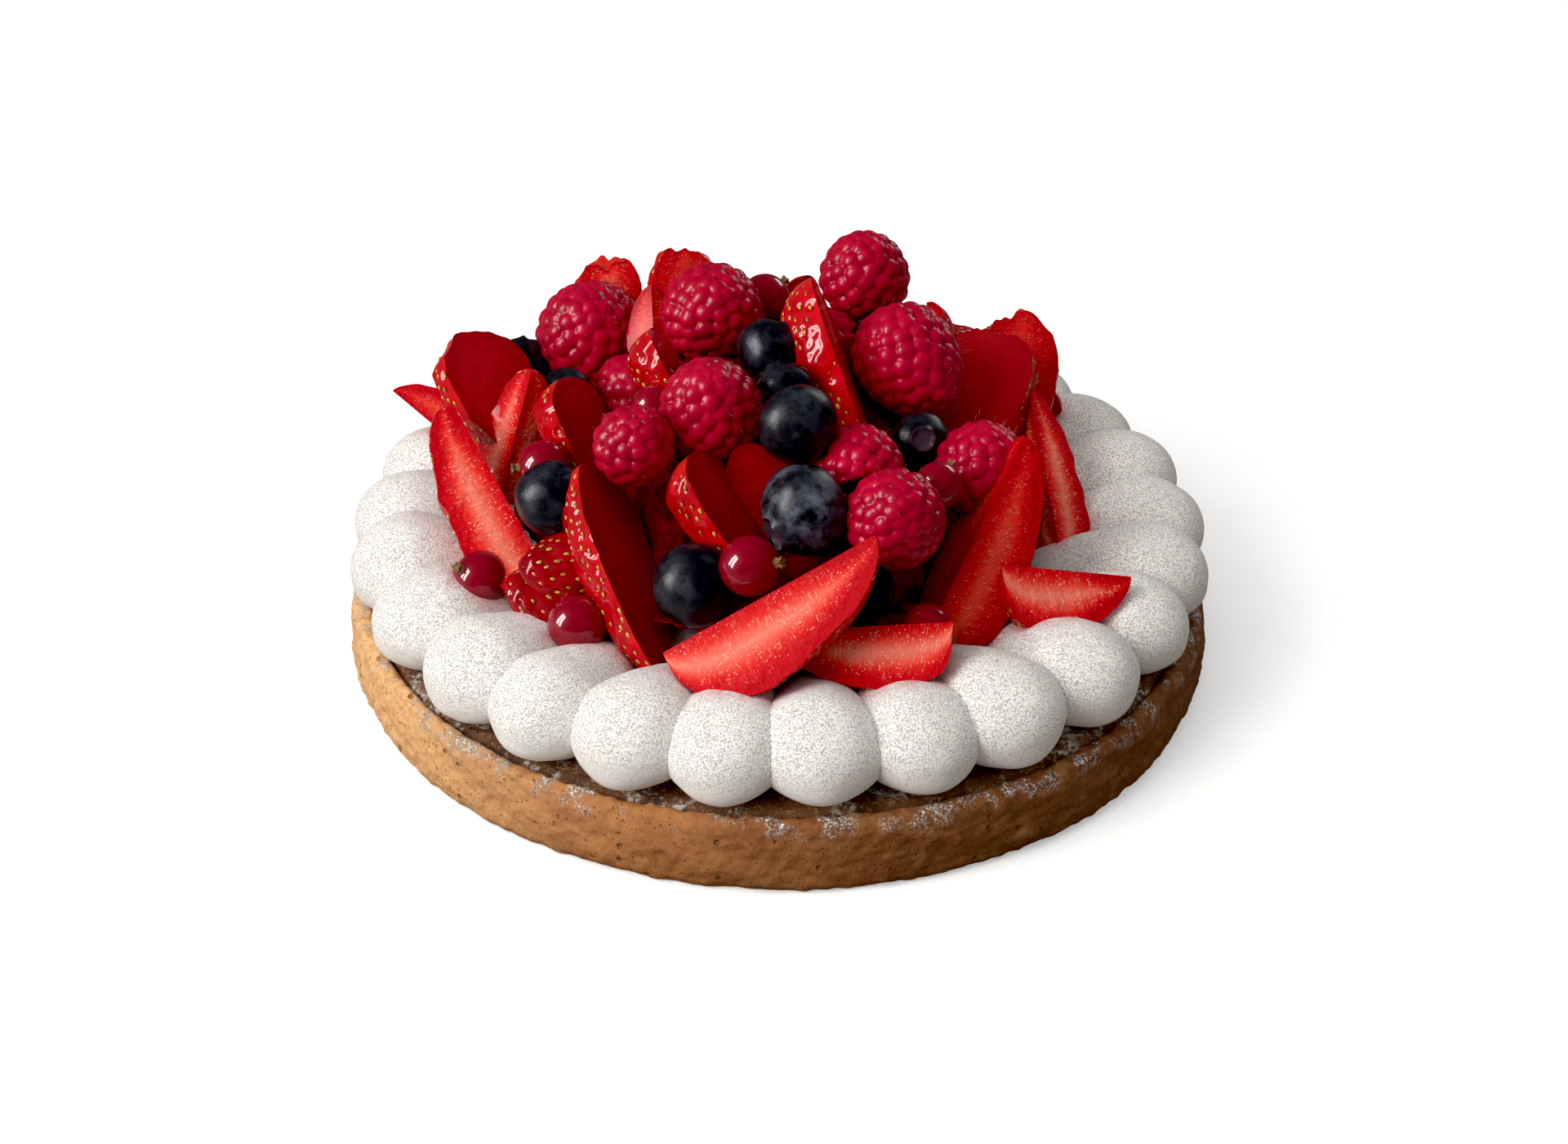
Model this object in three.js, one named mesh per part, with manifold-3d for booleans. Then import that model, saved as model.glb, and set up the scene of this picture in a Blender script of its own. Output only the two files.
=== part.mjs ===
// Berry tart: a baked pastry case full of almond filling, a ring of piped cream and a heap of fruit.
// Millimetres, +Z up. The origin is the middle of the flat underside, and -Y is the front.
import * as THREE from 'three';
import { mergeVertices } from 'three/addons/utils/BufferGeometryUtils.js';
import Module from 'manifold-3d';

const wasm = await Module();
wasm.setup();

// Driving dimensions of the pastry case and its filling
const RIM_RADIUS = 80;
const CASE_HEIGHT = 14;
const WALL = 3.6;
const FLOOR = 3.2;
const AROUND = 44;
const GAP = 0.3;
const FILLING_TOP = 13.9;

// Piped cream: one drop is squeezed out at the rim and drawn in towards the middle
const CREAM_FOOT = CASE_HEIGHT + GAP;
const DROP_OUTER_RADIUS = 80;
const DROP_LENGTH = 38;
const DROP_HALF_WIDTH = 11;
const DROP_HEIGHT = 16.5;
const DROP_MIDDLE = 0.46;
const DROP_WIDEST = 0.31;
const DROP_BEND = 12;
const DROP_STEPS = 6;
const BED_RADIUS = 47;
const BED_INNER = 40;
const BED_TOP = 21.2;

// The cream is measured outwards from a ring inside it, in these directions as shares of a half turn
const SPINE_RADIUS = 62;
const SPINE_HEIGHT = CREAM_FOOT + 1.5;
const SPINE_REACH = 28;
const SPINE_RAYS = [-0.034, 0.03, 0.1, 0.19, 0.31, 0.46, 0.64, 0.82, 0.93];

// How soft pieces give way under fruit: the gap they keep, then the number of rounds, how far they
// sink at each one, and how far round a touch it reaches
const SOFT_MARGIN = 0.7;
const SINK_ROUNDS = 40;
const SINK_STEP = 0.6;
const SINK_SPREAD = 2.5;

// How finely a strawberry is modelled
const BERRY_SIDES = 10;
const BERRY_RINGS = 6;

// How blunt the root end of a strawberry is: 0.5 gives a half ellipse, and less a flatter end
const ROOT_BLUNTNESS = 0.38;

// How flat a blueberry is, as its half height over its radius
const BLUEBERRY_SQUASH = 0.88;

// The gap that is kept where a piece is cut to make room for its neighbour
const CLEARANCE = 0.36;

// The hidden middle of the fruit heap
const HEAP_MIDDLE_Y = 5;
const HEAP_REACH = 54;
const HEAP_TOP = 54;
const HEAP_FOOT = BED_TOP + CLEARANCE + 0.05;
const HEAP_FOOT_RADIUS = 34;
const HEAP_LIP = 7.2;
const HEAP_SHOULDER = 3;
const HEAP_SIDES = 24;
const HEAP_LUMPS = 2.2;

// Colours of the materials
const COLOUR = {
  crust: '#b07a3f',
  filling: '#8a5a2c',
  cream: '#efe9df',
  juice: '#6f0d12',
  raspberry: '#b3163a',
  blueberry: '#1c2236',
  redcurrant: '#8f0a1c',
  strawberry: '#cc1a1a',
};

// Where the drops of cream start, in degrees from the front towards +X, then how large each one is
const DROPS = [
  [-78, 1.04], [-63, 0.98], [-47, 1.02], [-34, 0.97], [-20, 1.0], [-7, 1.0], [6, 1.02], [20, 0.98],
  [33.5, 1.03], [49, 1.0], [65, 0.98], [79, 1.02], [93, 1.0], [108, 1.03], [122, 0.97], [136, 1.0],
  [150, 1.02], [164, 0.98], [178, 1.0], [-167, 1.03], [-152, 0.98], [-137, 1.0], [-122, 1.02],
  [-107, 0.98], [-92, 1.0],
];

// Raspberries: middle, half width, half length, and the way the tip points
const RASPBERRIES = [
  { name: 'raspberry_left_back', at: [-37, 32, 46.5], wide: 10.8, long: 10.6, tip: [-0.1, -0.45, 0.9] },
  { name: 'raspberry_back', at: [-13, 23, 56], wide: 9.8, long: 9.6, tip: [0.25, -0.7, 0.65] },
  { name: 'raspberry_top', at: [15.5, 36, 58], wide: 8.8, long: 8.8, tip: [0.05, -0.3, 1] },
  { name: 'raspberry_right_back', at: [23.5, 8, 54], wide: 9.8, long: 11.6, tip: [0.55, -0.55, -0.45] },
  { name: 'raspberry_middle', at: [-12.5, -13, 55.5], wide: 9.4, long: 10.4, tip: [-0.05, -0.4, 0.9] },
  { name: 'raspberry_small', at: [-25.5, -22, 53], wide: 7.4, long: 7.8, tip: [0.3, -0.7, 0.6] },
  { name: 'raspberry_hollow', at: [14, -22.5, 49.5], wide: 8, long: 8.2, tip: [-0.1, 0.85, 0.45] },
  { name: 'raspberry_front', at: [20, -37, 48], wide: 8.9, long: 9.6, tip: [0.1, -0.7, 0.65] },
  { name: 'raspberry_right', at: [36, -17, 46.5], wide: 9, long: 8.8, tip: [0.3, -0.25, 0.9] },
];

// Blueberries: middle, radius, and the way the crown points
const BLUEBERRIES = [
  { name: 'blueberry_left_back', at: [-50, 29, 40.5], radius: 6.2, crown: [0.3, 0.5, 0.7] },
  { name: 'blueberry_left', at: [-40, 10, 45], radius: 5.3, crown: [0, 1, 0] },
  { name: 'blueberry_deep', at: [-2, 5.5, 57], radius: 6.6, crown: [0.6, 0.3, 0.6] },
  { name: 'blueberry_behind', at: [0.5, -6.5, 55.5], radius: 5.8, crown: [-0.5, 0.5, 0.5] },
  { name: 'blueberry_middle', at: [3, -22, 57.5], radius: 7.2, crown: [-0.5, 0.8, 0.1] },
  { name: 'blueberry_crown', at: [25, -12, 48.5], radius: 5.5, crown: [0.05, -0.8, 0.6] },
  { name: 'blueberry_left_front', at: [-40, -24, 43], radius: 6.8, crown: [-0.1, 0.8, -0.6] },
  { name: 'blueberry_large', at: [4.5, -34.5, 47.5], radius: 8.4, crown: [-0.75, -0.5, -0.3] },
  { name: 'blueberry_front', at: [-14.5, -43, 37.5], radius: 7.3, crown: [0.2, 0.75, -0.6] },
  { name: 'blueberry_shade', at: [14.5, -42.5, 36.5], radius: 5.7, crown: [0.5, 0.6, -0.6] },
];

// Redcurrants: middle, radius, and the way the dried flower points
const REDCURRANTS = [
  { name: 'redcurrant_back', at: [-3.5, 31.5, 54.5], radius: 4.9, flower: [0.5, 0.5, 0.3] },
  { name: 'redcurrant_left_top', at: [-23, -6, 51.5], radius: 4.2, flower: [0.2, 0.9, 0.2] },
  { name: 'redcurrant_left', at: [-42.5, -13, 43], radius: 4.8, flower: [-0.9, -0.3, 0.1] },
  { name: 'redcurrant_edge', at: [-53, -28, 28.5], radius: 5.1, flower: [-0.6, -0.4, 0.6] },
  { name: 'redcurrant_low', at: [-35, -41.5, 28], radius: 5.2, flower: [0.5, 0.6, -0.5] },
  { name: 'redcurrant_front', at: [-5, -44.5, 42.5], radius: 5.3, flower: [0.85, -0.35, 0.35] },
  { name: 'redcurrant_right', at: [27.5, -28.5, 49.5], radius: 4.2, flower: [0.4, 0.6, 0.4] },
  { name: 'redcurrant_shade', at: [25.5, -48.5, 33], radius: 4.3, flower: [0.9, -0.4, -0.2] },
];

// Strawberry pieces: the root and tip ends of the fruit's axis, its half width, the way the skin
// faces, and how it was cut. A half keeps one side of the axis, a wedge keeps an angle of it in
// degrees with its edge on the axis or an apex distance behind it, and a slice keeps a plate that
// starts and ends at these distances from the axis.
const STRAWBERRIES = [
  ['strawberry_far_left', [-57, 6, 33], [-75, 26, 36.5], 7.6, [0.8, 0.6, -0.2], { wedge: 80 }],
  ['strawberry_left_slice', [-60, 20, 51], [-46.5, 2.5, 33.5], 9.4, [-0.49, 0.4, -0.78], { slice: [-2.2, 2.6] }],
  ['strawberry_long_left', [-42, -30, 28], [-62, 0, 47], 9.6, [-0.6, 0.2, -0.8], { wedge: 95, apex: 3 }],
  ['strawberry_thin_wedge', [-52, -5, 30.5], [-46, 8, 51.5], 7.2, [-0.1, 0.7, -0.7], { wedge: 95, apex: 2 }],
  ['strawberry_left_half', [-38.5, 4, 52], [-31, -11, 36], 9, [-0.81, 0.18, -0.55], { half: 0 }],
  ['strawberry_small_left', [-32.5, -30, 31.5], [-46, -33, 33.5], 7, [0.2, -0.4, 0.9], { half: 1 }],
  ['strawberry_large_half', [-33, -19.5, 48], [-19, -49, 21.5], 9.3, [-0.81, 0.14, -0.58], { half: 0 }],
  ['strawberry_middle_half', [-15, -25, 53.5], [-1.5, -36.5, 34.5], 8.5, [-0.77, 0.13, -0.63], { half: 0 }],
  ['strawberry_front', [-19.5, -55, 31.5], [16, -50, 52.5], 14.5, [0.51, -0.06, -0.86], { wedge: 95 }],
  ['strawberry_front_right', [29.5, -52.5, 37], [-0.5, -51, 33.5], 11.5, [0.11, -0.06, -0.99], { wedge: 85 }],
  ['strawberry_big_wedge', [25.5, -42.5, 26], [42.5, -22, 56], 12, [0.44, 0.6, -0.66], { wedge: 100 }],
  ['strawberry_right_wedge', [39, -35, 37.5], [62, -32, 33.5], 11.5, [-0.16, -0.07, -0.98], { wedge: 80 }],
  ['strawberry_right_slice', [52, -12, 23.5], [46, 14, 46], 8, [0.3, 0.7, -0.7], { wedge: 90 }],
  ['strawberry_right_back', [44.5, 33, 50.5], [46, 13, 34], 7.4, [-0.2, 0.6, -0.8], { slice: [-2.2, 2.6] }],
  ['strawberry_behind_right', [38, 27, 50], [34, 3, 35], 11.5, [0.3, 0.5, -0.8], { slice: [-2, 3.4] }],
  ['strawberry_tall_half', [6, 17, 65.5], [17, -10, 44.5], 9.5, [-0.9, -0.05, -0.35], { half: 0 }],
  ['strawberry_back_tip', [5, 40, 44.5], [4, 40, 55], 6, [-0.5, 0.8, 0], { wedge: 120 }],
  ['strawberry_right_tip', [26.5, 24, 46], [27.5, 34, 53], 6, [1, 0.1, -0.3], { wedge: 140 }],
  ['strawberry_left_top', [-34, 44, 55.5], [-33.5, 31, 42.5], 6.5, [-0.2, 0.7, -0.7], { slice: [-2.2, 2.4] }],
  ['strawberry_back_left', [-19.5, 42, 58.5], [-18.5, 25, 43], 7.2, [-0.3, 0.8, -0.55], { slice: [-2, 2.4] }],
  ['strawberry_back_cut', [-24, 18, 48.5], [-25, 28, 59], 6.5, [0, 0.7, -0.7], { wedge: 110 }],
  ['strawberry_back_half', [-22.5, 9, 59], [-16, -4, 49.5], 8, [-0.8, -0.1, -0.5], { half: 0 }],
  ['strawberry_deep', [1, -26, 38], [-7.5, -20, 52], 6.5, [-0.21, 0.84, -0.49], { half: 0 }],
  ['strawberry_dark_low', [-38, -35, 23.5], [-48, -31, 31], 7, [0.5, -0.4, 0.8], { half: 1 }],
  ['strawberry_rear_left', [-46, 42, 26], [-30, 52, 38], 9, [-0.2, 0.9, 0.4], { half: 0 }],
  ['strawberry_rear_middle', [-20, 56, 27], [-2, 49, 43], 10, [0, 0.9, 0.4], { half: 0 }],
  ['strawberry_rear_right', [42, 44, 26], [20, 53, 38], 9.5, [0.2, 0.9, 0.4], { half: 0 }],
  ['strawberry_rear_side', [36, 40, 25], [54, 30, 33], 8, [0.6, 0.7, 0.2], { wedge: 110 }],
].map(([name, root, tip, wide, skin, cut]) => ({ name, root, tip, wide, skin, ...cut }));

// Small even waves that make baked and piped shapes uneven, between -1 and 1
function waver(angle, height, phase) {
  const slow = Math.sin(3 * angle + phase) * 0.45;
  const middle = Math.sin(8 * angle + 1.7 * phase + height * 0.35) * 0.3;
  const quick = Math.sin(19 * angle - phase + height * 0.9) * 0.25;
  return slow + middle + quick;
}

// A generator of fixed random numbers between 0 and 1
function seeded(start) {
  let state = start * 7919 + 17;
  return () => {
    state = (state * 16807) % 2147483647;
    return state / 2147483647;
  };
}

// The same surface with shared corners, its flattened triangles left out and its faces pointing out
function welded(geometry) {
  const bare = geometry.clone();
  for (const name of Object.keys(bare.attributes)) {
    if (name !== 'position') bare.deleteAttribute(name);
  }
  const merged = mergeVertices(bare, 1e-4);
  const corners = merged.getIndex().array;
  const places = merged.getAttribute('position');
  const kept = [];
  let volume = 0;
  const [a, b, c] = [new THREE.Vector3(), new THREE.Vector3(), new THREE.Vector3()];
  for (let i = 0; i < corners.length; i += 3) {
    const [p, q, r] = [corners[i], corners[i + 1], corners[i + 2]];
    if (p === q || q === r || r === p) continue;
    kept.push(p, q, r);
    a.fromBufferAttribute(places, p);
    b.fromBufferAttribute(places, q);
    c.fromBufferAttribute(places, r);
    volume += a.dot(b.cross(c)) / 6;
  }
  if (volume < 0) kept.reverse();
  merged.setIndex(kept);
  return merged;
}

// A closed geometry as a solid that can be joined and cut
function toSolid(geometry) {
  const shape = welded(geometry);
  return new wasm.Manifold(new wasm.Mesh({
    numProp: 3,
    vertProperties: Float32Array.from(shape.getAttribute('position').array),
    triVerts: Uint32Array.from(shape.getIndex().array),
  }));
}

// A solid back as a geometry
function toGeometry(solid) {
  const mesh = solid.getMesh();
  const geometry = new THREE.BufferGeometry();
  geometry.setAttribute('position', new THREE.BufferAttribute(Float32Array.from(mesh.vertProperties), 3));
  geometry.setIndex(Array.from(mesh.triVerts));
  return geometry;
}

// A copy of a geometry whose points are moved one by one
function reshaped(geometry, move) {
  const shape = welded(geometry);
  const places = shape.getAttribute('position');
  const point = new THREE.Vector3();
  for (let i = 0; i < places.count; i += 1) {
    point.fromBufferAttribute(places, i);
    move(point);
    places.setXYZ(i, point.x, point.y, point.z);
  }
  return shape;
}

// A turned shape about +Z from a profile of [radius, height] points, with its seam at the front
function turned(profile, segments) {
  const points = profile.map(([radius, height]) => new THREE.Vector2(radius, height));
  return new THREE.LatheGeometry(points, segments).rotateX(Math.PI / 2);
}

// The room that a fruit takes up: its outer shape with every face moved out by the clearance
function roomOf(fruit) {
  const shape = toGeometry(fruit.hull());
  const places = shape.getAttribute('position');
  const corners = shape.getIndex().array;
  const faces = Array.from({ length: places.count }, () => []);
  const triangle = new THREE.Triangle();
  for (let i = 0; i < corners.length; i += 3) {
    triangle.setFromAttributeAndIndices(places, corners[i], corners[i + 1], corners[i + 2]);
    const normal = triangle.getNormal(new THREE.Vector3());
    for (const corner of [corners[i], corners[i + 1], corners[i + 2]]) faces[corner].push(normal);
  }
  for (let i = 0; i < places.count; i += 1) {
    const mean = new THREE.Vector3();
    for (const normal of faces[i]) mean.add(normal);
    mean.normalize();
    const least = Math.min(...faces[i].map((normal) => normal.dot(mean)));
    mean.multiplyScalar(CLEARANCE / Math.max(least, 0.4));
    places.setXYZ(i, places.getX(i) + mean.x, places.getY(i) + mean.y, places.getZ(i) + mean.z);
  }
  return toSolid(shape).hull();
}

// The largest of the separate lumps that a cut leaves
function largest(solid) {
  return solid.decompose().reduce((best, lump) => (lump.volume() > best.volume() ? lump : best));
}

// The pastry case: a shallow cup with an uneven outside and a rounded lip
function pastryCase() {
  const inner = RIM_RADIUS - WALL;
  const profile = [
    [0, 0], [78.4, 0], [80.3, 1.8], [80.5, 6], [80, 11.5], [79.2, 13.5], [77.9, CASE_HEIGHT],
    [inner + 0.3, 13.6], [inner, 12.4], [inner, FLOOR], [0, FLOOR],
  ];
  return reshaped(turned(profile, AROUND), (point) => {
    const radius = Math.hypot(point.x, point.y);
    const angle = Math.atan2(point.x, -point.y);
    if (radius > 78.6) {
      const scale = 1 + (0.45 * waver(angle, point.z, 0.6)) / radius;
      point.x *= scale;
      point.y *= scale;
    }
    if (point.z > 13.2) point.z += 0.15 * (waver(angle, radius, 2.1) - 1);
  });
}

// The almond filling runs right through the case, up to just under the lip
function almondFilling() {
  const radius = RIM_RADIUS - WALL - GAP;
  const foot = FLOOR + GAP;
  const profile = [
    [0, foot], [radius, foot], [radius, 12.8], [radius - 1.8, FILLING_TOP], [0, FILLING_TOP],
  ];
  return turned(profile, AROUND);
}

// How wide a drop of cream is at a place along it, as a share of its half width
function dropWidth(along) {
  if (along < 0 || along > 1) return 0;
  if (along < DROP_WIDEST) return Math.sqrt(1 - ((DROP_WIDEST - along) / DROP_WIDEST) ** 2);
  return 1 - 0.8 * ((along - DROP_WIDEST) / (1 - DROP_WIDEST)) ** 1.25;
}

// How high a drop of cream is behind its widest place, as a share of its height
function dropHeight(along) {
  if (along < DROP_WIDEST) return 1;
  return 1 - 0.6 * ((along - DROP_WIDEST) / (1 - DROP_WIDEST)) ** 1.35;
}

// True inside one piped drop, at a radius, an angle in degrees from its own middle line and a height
function insideDrop(radius, turn, height, { size, bend }) {
  const angle = THREE.MathUtils.degToRad(turn);
  const along = (DROP_OUTER_RADIUS - radius * Math.cos(angle)) / DROP_LENGTH;
  const girth = dropWidth(along);
  if (girth < 1e-3) return false;
  const side = radius * Math.sin(angle) - bend * Math.max(along - DROP_WIDEST, 0) ** 2;
  const high = dropHeight(along) * DROP_HEIGHT * size;
  const middle = DROP_MIDDLE * high;
  const round = along < DROP_WIDEST ? girth : 1;
  const lift = height - CREAM_FOOT - middle;
  const reach = lift > 0 ? (high - middle) * round : middle * 1.3 * round ** 0.4;
  return (side / (girth * DROP_HALF_WIDTH * size)) ** 2 + (lift / reach) ** 2 < 1;
}

// The drops with their places, sizes and the way their tails bend
function dropList() {
  const random = seeded(5);
  return DROPS.map(([azimuth, size]) => ({ azimuth, size, bend: (random() - 0.3) * DROP_BEND }));
}

// The ring of piped drops, pressed together, and the bed of cream between their tails
function pipedCream() {
  const drops = dropList().sort((one, other) => one.azimuth - other.azimuth);
  const places = [0, 0, CREAM_FOOT, 0, 0, BED_TOP];
  const corners = [];
  const columns = [];
  drops.forEach((drop, index) => {
    const next = drops[(index + 1) % drops.length];
    const span = (next.azimuth - drop.azimuth + 360) % 360;
    for (let step = 0; step < DROP_STEPS; step += 1) {
      columns.push({ azimuth: drop.azimuth + (span * step) / DROP_STEPS, from: index });
    }
  });
  for (const { azimuth, from } of columns) {
    const angle = THREE.MathUtils.degToRad(azimuth);
    const around = [-1, 0, 1, 2].map((shift) => drops[(from + shift + drops.length) % drops.length]);
    for (const share of SPINE_RAYS) {
      const slope = Math.PI * share;
      const at = (far) => [SPINE_RADIUS + far * Math.cos(slope), SPINE_HEIGHT + far * Math.sin(slope)];
      const holds = (far) => {
        const [radius, height] = at(far);
        const [x, y] = [radius * Math.sin(angle), -radius * Math.cos(angle)];
        if (!clearOfFruit(x, y, height, SOFT_MARGIN)) return false;
        if (radius < BED_RADIUS && height < BED_TOP) return radius > BED_INNER;
        return around.some((drop) => insideDrop(radius, azimuth - drop.azimuth, height, drop));
      };
      let far = SPINE_REACH;
      while (far > 0.5 && !holds(far)) far -= 0.25;
      const [radius, height] = at(far);
      places.push(radius * Math.sin(angle), -radius * Math.cos(angle), Math.max(height, CREAM_FOOT));
    }
  }
  const rows = SPINE_RAYS.length;
  const corner = (column, row) => 2 + (column % columns.length) * rows + row;
  for (let column = 0; column < columns.length; column += 1) {
    corners.push(0, corner(column + 1, 0), corner(column, 0));
    corners.push(1, corner(column, rows - 1), corner(column + 1, rows - 1));
    for (let row = 0; row < rows - 1; row += 1) {
      const [a, b] = [corner(column, row), corner(column + 1, row)];
      const [c, d] = [corner(column + 1, row + 1), corner(column, row + 1)];
      corners.push(a, b, c, a, c, d);
    }
  }
  const geometry = new THREE.BufferGeometry();
  geometry.setAttribute('position', new THREE.Float32BufferAttribute(places, 3));
  geometry.setIndex(corners);
  return welded(geometry);
}

// The uneven mound of fruit that the pieces on top lie on: it rises until it meets them
function heapCore() {
  const rise = HEAP_TOP - HEAP_FOOT;
  const profile = [[0, HEAP_FOOT], [HEAP_FOOT_RADIUS, HEAP_FOOT]];
  for (const share of [0.96, 0.82, 0.66, 0.5, 0.34, 0.18]) profile.push([HEAP_REACH * share, HEAP_TOP]);
  profile.push([0, HEAP_TOP]);
  return reshaped(turned(profile, HEAP_SIDES), (point) => {
    const share = Math.hypot(point.x, point.y) / HEAP_REACH;
    const angle = Math.atan2(point.x, -point.y);
    point.y += HEAP_MIDDLE_Y;
    if (point.z < HEAP_FOOT + 0.1) return;
    const lumps = HEAP_LUMPS * waver(angle, share * 40, 1.2);
    point.z = HEAP_FOOT + HEAP_LIP;
    const dome = point.z + (rise - HEAP_LIP) * (1 - share ** HEAP_SHOULDER) + lumps;
    while (point.z < dome && clearOfFruit(point.x, point.y, point.z + 0.5, SOFT_MARGIN)) point.z += 0.5;
  });
}

// A raspberry: an egg shape whose corners are the drupelets, each triangle sunk in its middle
function raspberry({ wide, long }) {
  const around = 8;
  const rings = 6;
  const ball = welded(new THREE.SphereGeometry(1, around, rings).rotateX(Math.PI / 2));
  const turnedBall = reshaped(ball, (point) => {
    const ring = Math.round((Math.acos(THREE.MathUtils.clamp(point.z, -1, 1)) / Math.PI) * rings);
    const shift = (ring * Math.PI) / around;
    const [x, y] = [point.x, point.y];
    point.x = x * Math.cos(shift) - y * Math.sin(shift);
    point.y = x * Math.sin(shift) + y * Math.cos(shift);
    const taper = 1 - 0.14 * point.z;
    point.set(point.x * wide * taper, point.y * wide * taper, point.z * long);
  });
  const corners = turnedBall.getIndex().array;
  const places = turnedBall.getAttribute('position');
  const points = [];
  const [a, b, c] = [new THREE.Vector3(), new THREE.Vector3(), new THREE.Vector3()];
  for (let i = 0; i < corners.length; i += 3) {
    a.fromBufferAttribute(places, corners[i]);
    b.fromBufferAttribute(places, corners[i + 1]);
    c.fromBufferAttribute(places, corners[i + 2]);
    const sunk = a.clone().add(b).add(c).divideScalar(3).multiplyScalar(0.955);
    for (const trio of [[a, b, sunk], [b, c, sunk], [c, a, sunk]]) {
      for (const point of trio) points.push(point.x, point.y, point.z);
    }
  }
  const geometry = new THREE.BufferGeometry();
  geometry.setAttribute('position', new THREE.Float32BufferAttribute(points, 3));
  return toSolid(geometry);
}

// The opening left at the stem end of a raspberry when it is picked
function pickedHollow({ wide, long }) {
  const hollow = new THREE.SphereGeometry(1, 10, 6).rotateX(Math.PI / 2);
  hollow.scale(wide * 0.5, wide * 0.5, long * 1.1);
  hollow.translate(0, 0, -long * 0.78);
  return toSolid(hollow);
}

// A blueberry: a slightly flat ball with a five-pointed crown round a sunken middle
function blueberry({ radius }) {
  const high = radius * BLUEBERRY_SQUASH;
  const profile = [
    [0, -high], [radius * 0.7, -high * 0.72], [radius, -high * 0.05], [radius * 0.82, high * 0.6],
    [radius * 0.42, high * 1.04], [radius * 0.28, high * 0.8], [0, high * 0.74],
  ];
  return toSolid(reshaped(turned(profile, 10), (point) => {
    const ring = Math.hypot(point.x, point.y);
    const onCrown = point.z > high && ring < radius * 0.5;
    const angle = Math.atan2(point.x, -point.y);
    if (onCrown && Math.cos(5 * angle) < 0) point.z -= high * 0.1;
  }));
}

// A redcurrant: a round bead with a small dried flower at one end
function redcurrant({ radius }) {
  const profile = [
    [0, -radius], [radius * 0.72, -radius * 0.7], [radius, 0], [radius * 0.72, radius * 0.7],
    [radius * 0.22, radius * 0.96], [radius * 0.16, radius * 1.26], [0, radius * 1.3],
  ];
  return toSolid(turned(profile, 8));
}

// A strawberry with its root at the origin and its tip up the Z axis
function wholeStrawberry(length, wide) {
  const shape = new THREE.SphereGeometry(1, BERRY_SIDES, BERRY_RINGS).rotateX(Math.PI / 2);
  return toSolid(reshaped(shape, (point) => {
    const along = 0.5 + 0.5 * point.z;
    const ring = Math.hypot(point.x, point.y);
    const scale = ring > 1e-4 ? wide * strawberryWidth(along) / ring : 0;
    point.set(point.x * scale, point.y * scale, along * length);
  }));
}

// How wide a strawberry is at a place from its root (0) to its tip (1)
function strawberryWidth(along) {
  const shoulder = Math.max(0, 1 - ((0.3 - Math.min(along, 0.3)) / 0.3) ** 2) ** ROOT_BLUNTNESS;
  const taper = Math.sqrt(Math.max(0, 1 - ((Math.max(along, 0.3) - 0.3) / 0.7) ** 1.7));
  return shoulder * taper;
}

// A block that takes away all that lies behind a plane through a point
function behindPlane(normal, offset, reach) {
  const block = new THREE.BoxGeometry(reach, reach, reach);
  const turn = new THREE.Quaternion().setFromUnitVectors(new THREE.Vector3(0, 1, 0), normal);
  block.translate(0, -reach / 2, 0);
  block.applyQuaternion(turn);
  block.translate(normal.x * offset, normal.y * offset, normal.z * offset);
  return toSolid(block);
}

// The flat cuts of a strawberry piece: the way each one faces into the piece, and its distance
function cutPlanes({ half, slice, wedge, apex = 0 }) {
  if (slice) return [[90, slice[0]], [-90, -slice[1]]];
  if (!wedge) return [[90, half]];
  const offset = -apex * Math.sin(THREE.MathUtils.degToRad(wedge / 2));
  return [[180 - wedge / 2, offset], [wedge / 2, offset]];
}

// A direction square to the fruit's axis at an angle in degrees
function sideways(turn) {
  const angle = THREE.MathUtils.degToRad(turn);
  return new THREE.Vector3(Math.cos(angle), Math.sin(angle), 0);
}

// A cut piece of strawberry, still lying along its own axis with the skin towards +Y
function strawberryPiece(piece) {
  const length = pieceLength(piece);
  let fruit = wholeStrawberry(length, piece.wide);
  const reach = 4 * Math.max(length, piece.wide);
  for (const [turn, offset] of cutPlanes(piece)) {
    fruit = fruit.subtract(behindPlane(sideways(turn), offset, reach));
  }
  return fruit;
}

// How long a strawberry piece is from root to tip
function pieceLength({ root, tip }) {
  return new THREE.Vector3(...tip).distanceTo(new THREE.Vector3(...root));
}

// Where a strawberry piece lies: Z runs from root to tip, and Y is as near the skin as it goes
function pieceFrame(piece) {
  const root = new THREE.Vector3(...piece.root);
  const tip = new THREE.Vector3(...piece.tip);
  const along = tip.clone().sub(root).normalize();
  const skin = new THREE.Vector3(...piece.skin);
  skin.addScaledVector(along, -skin.dot(along)).normalize();
  const across = new THREE.Vector3().crossVectors(skin, along);
  return new THREE.Matrix4().makeBasis(across, skin, along).setPosition(root);
}

// Where a round fruit lies, with its own +Z turned to point the given way
function roundFrame(at, way) {
  const turn = new THREE.Quaternion().setFromUnitVectors(
    new THREE.Vector3(0, 0, 1),
    new THREE.Vector3(...way).normalize(),
  );
  return new THREE.Matrix4().makeRotationFromQuaternion(turn).setPosition(new THREE.Vector3(...at));
}

// A solid set in its place
function placed(solid, matrix) {
  return toSolid(toGeometry(solid).applyMatrix4(matrix));
}

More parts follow.
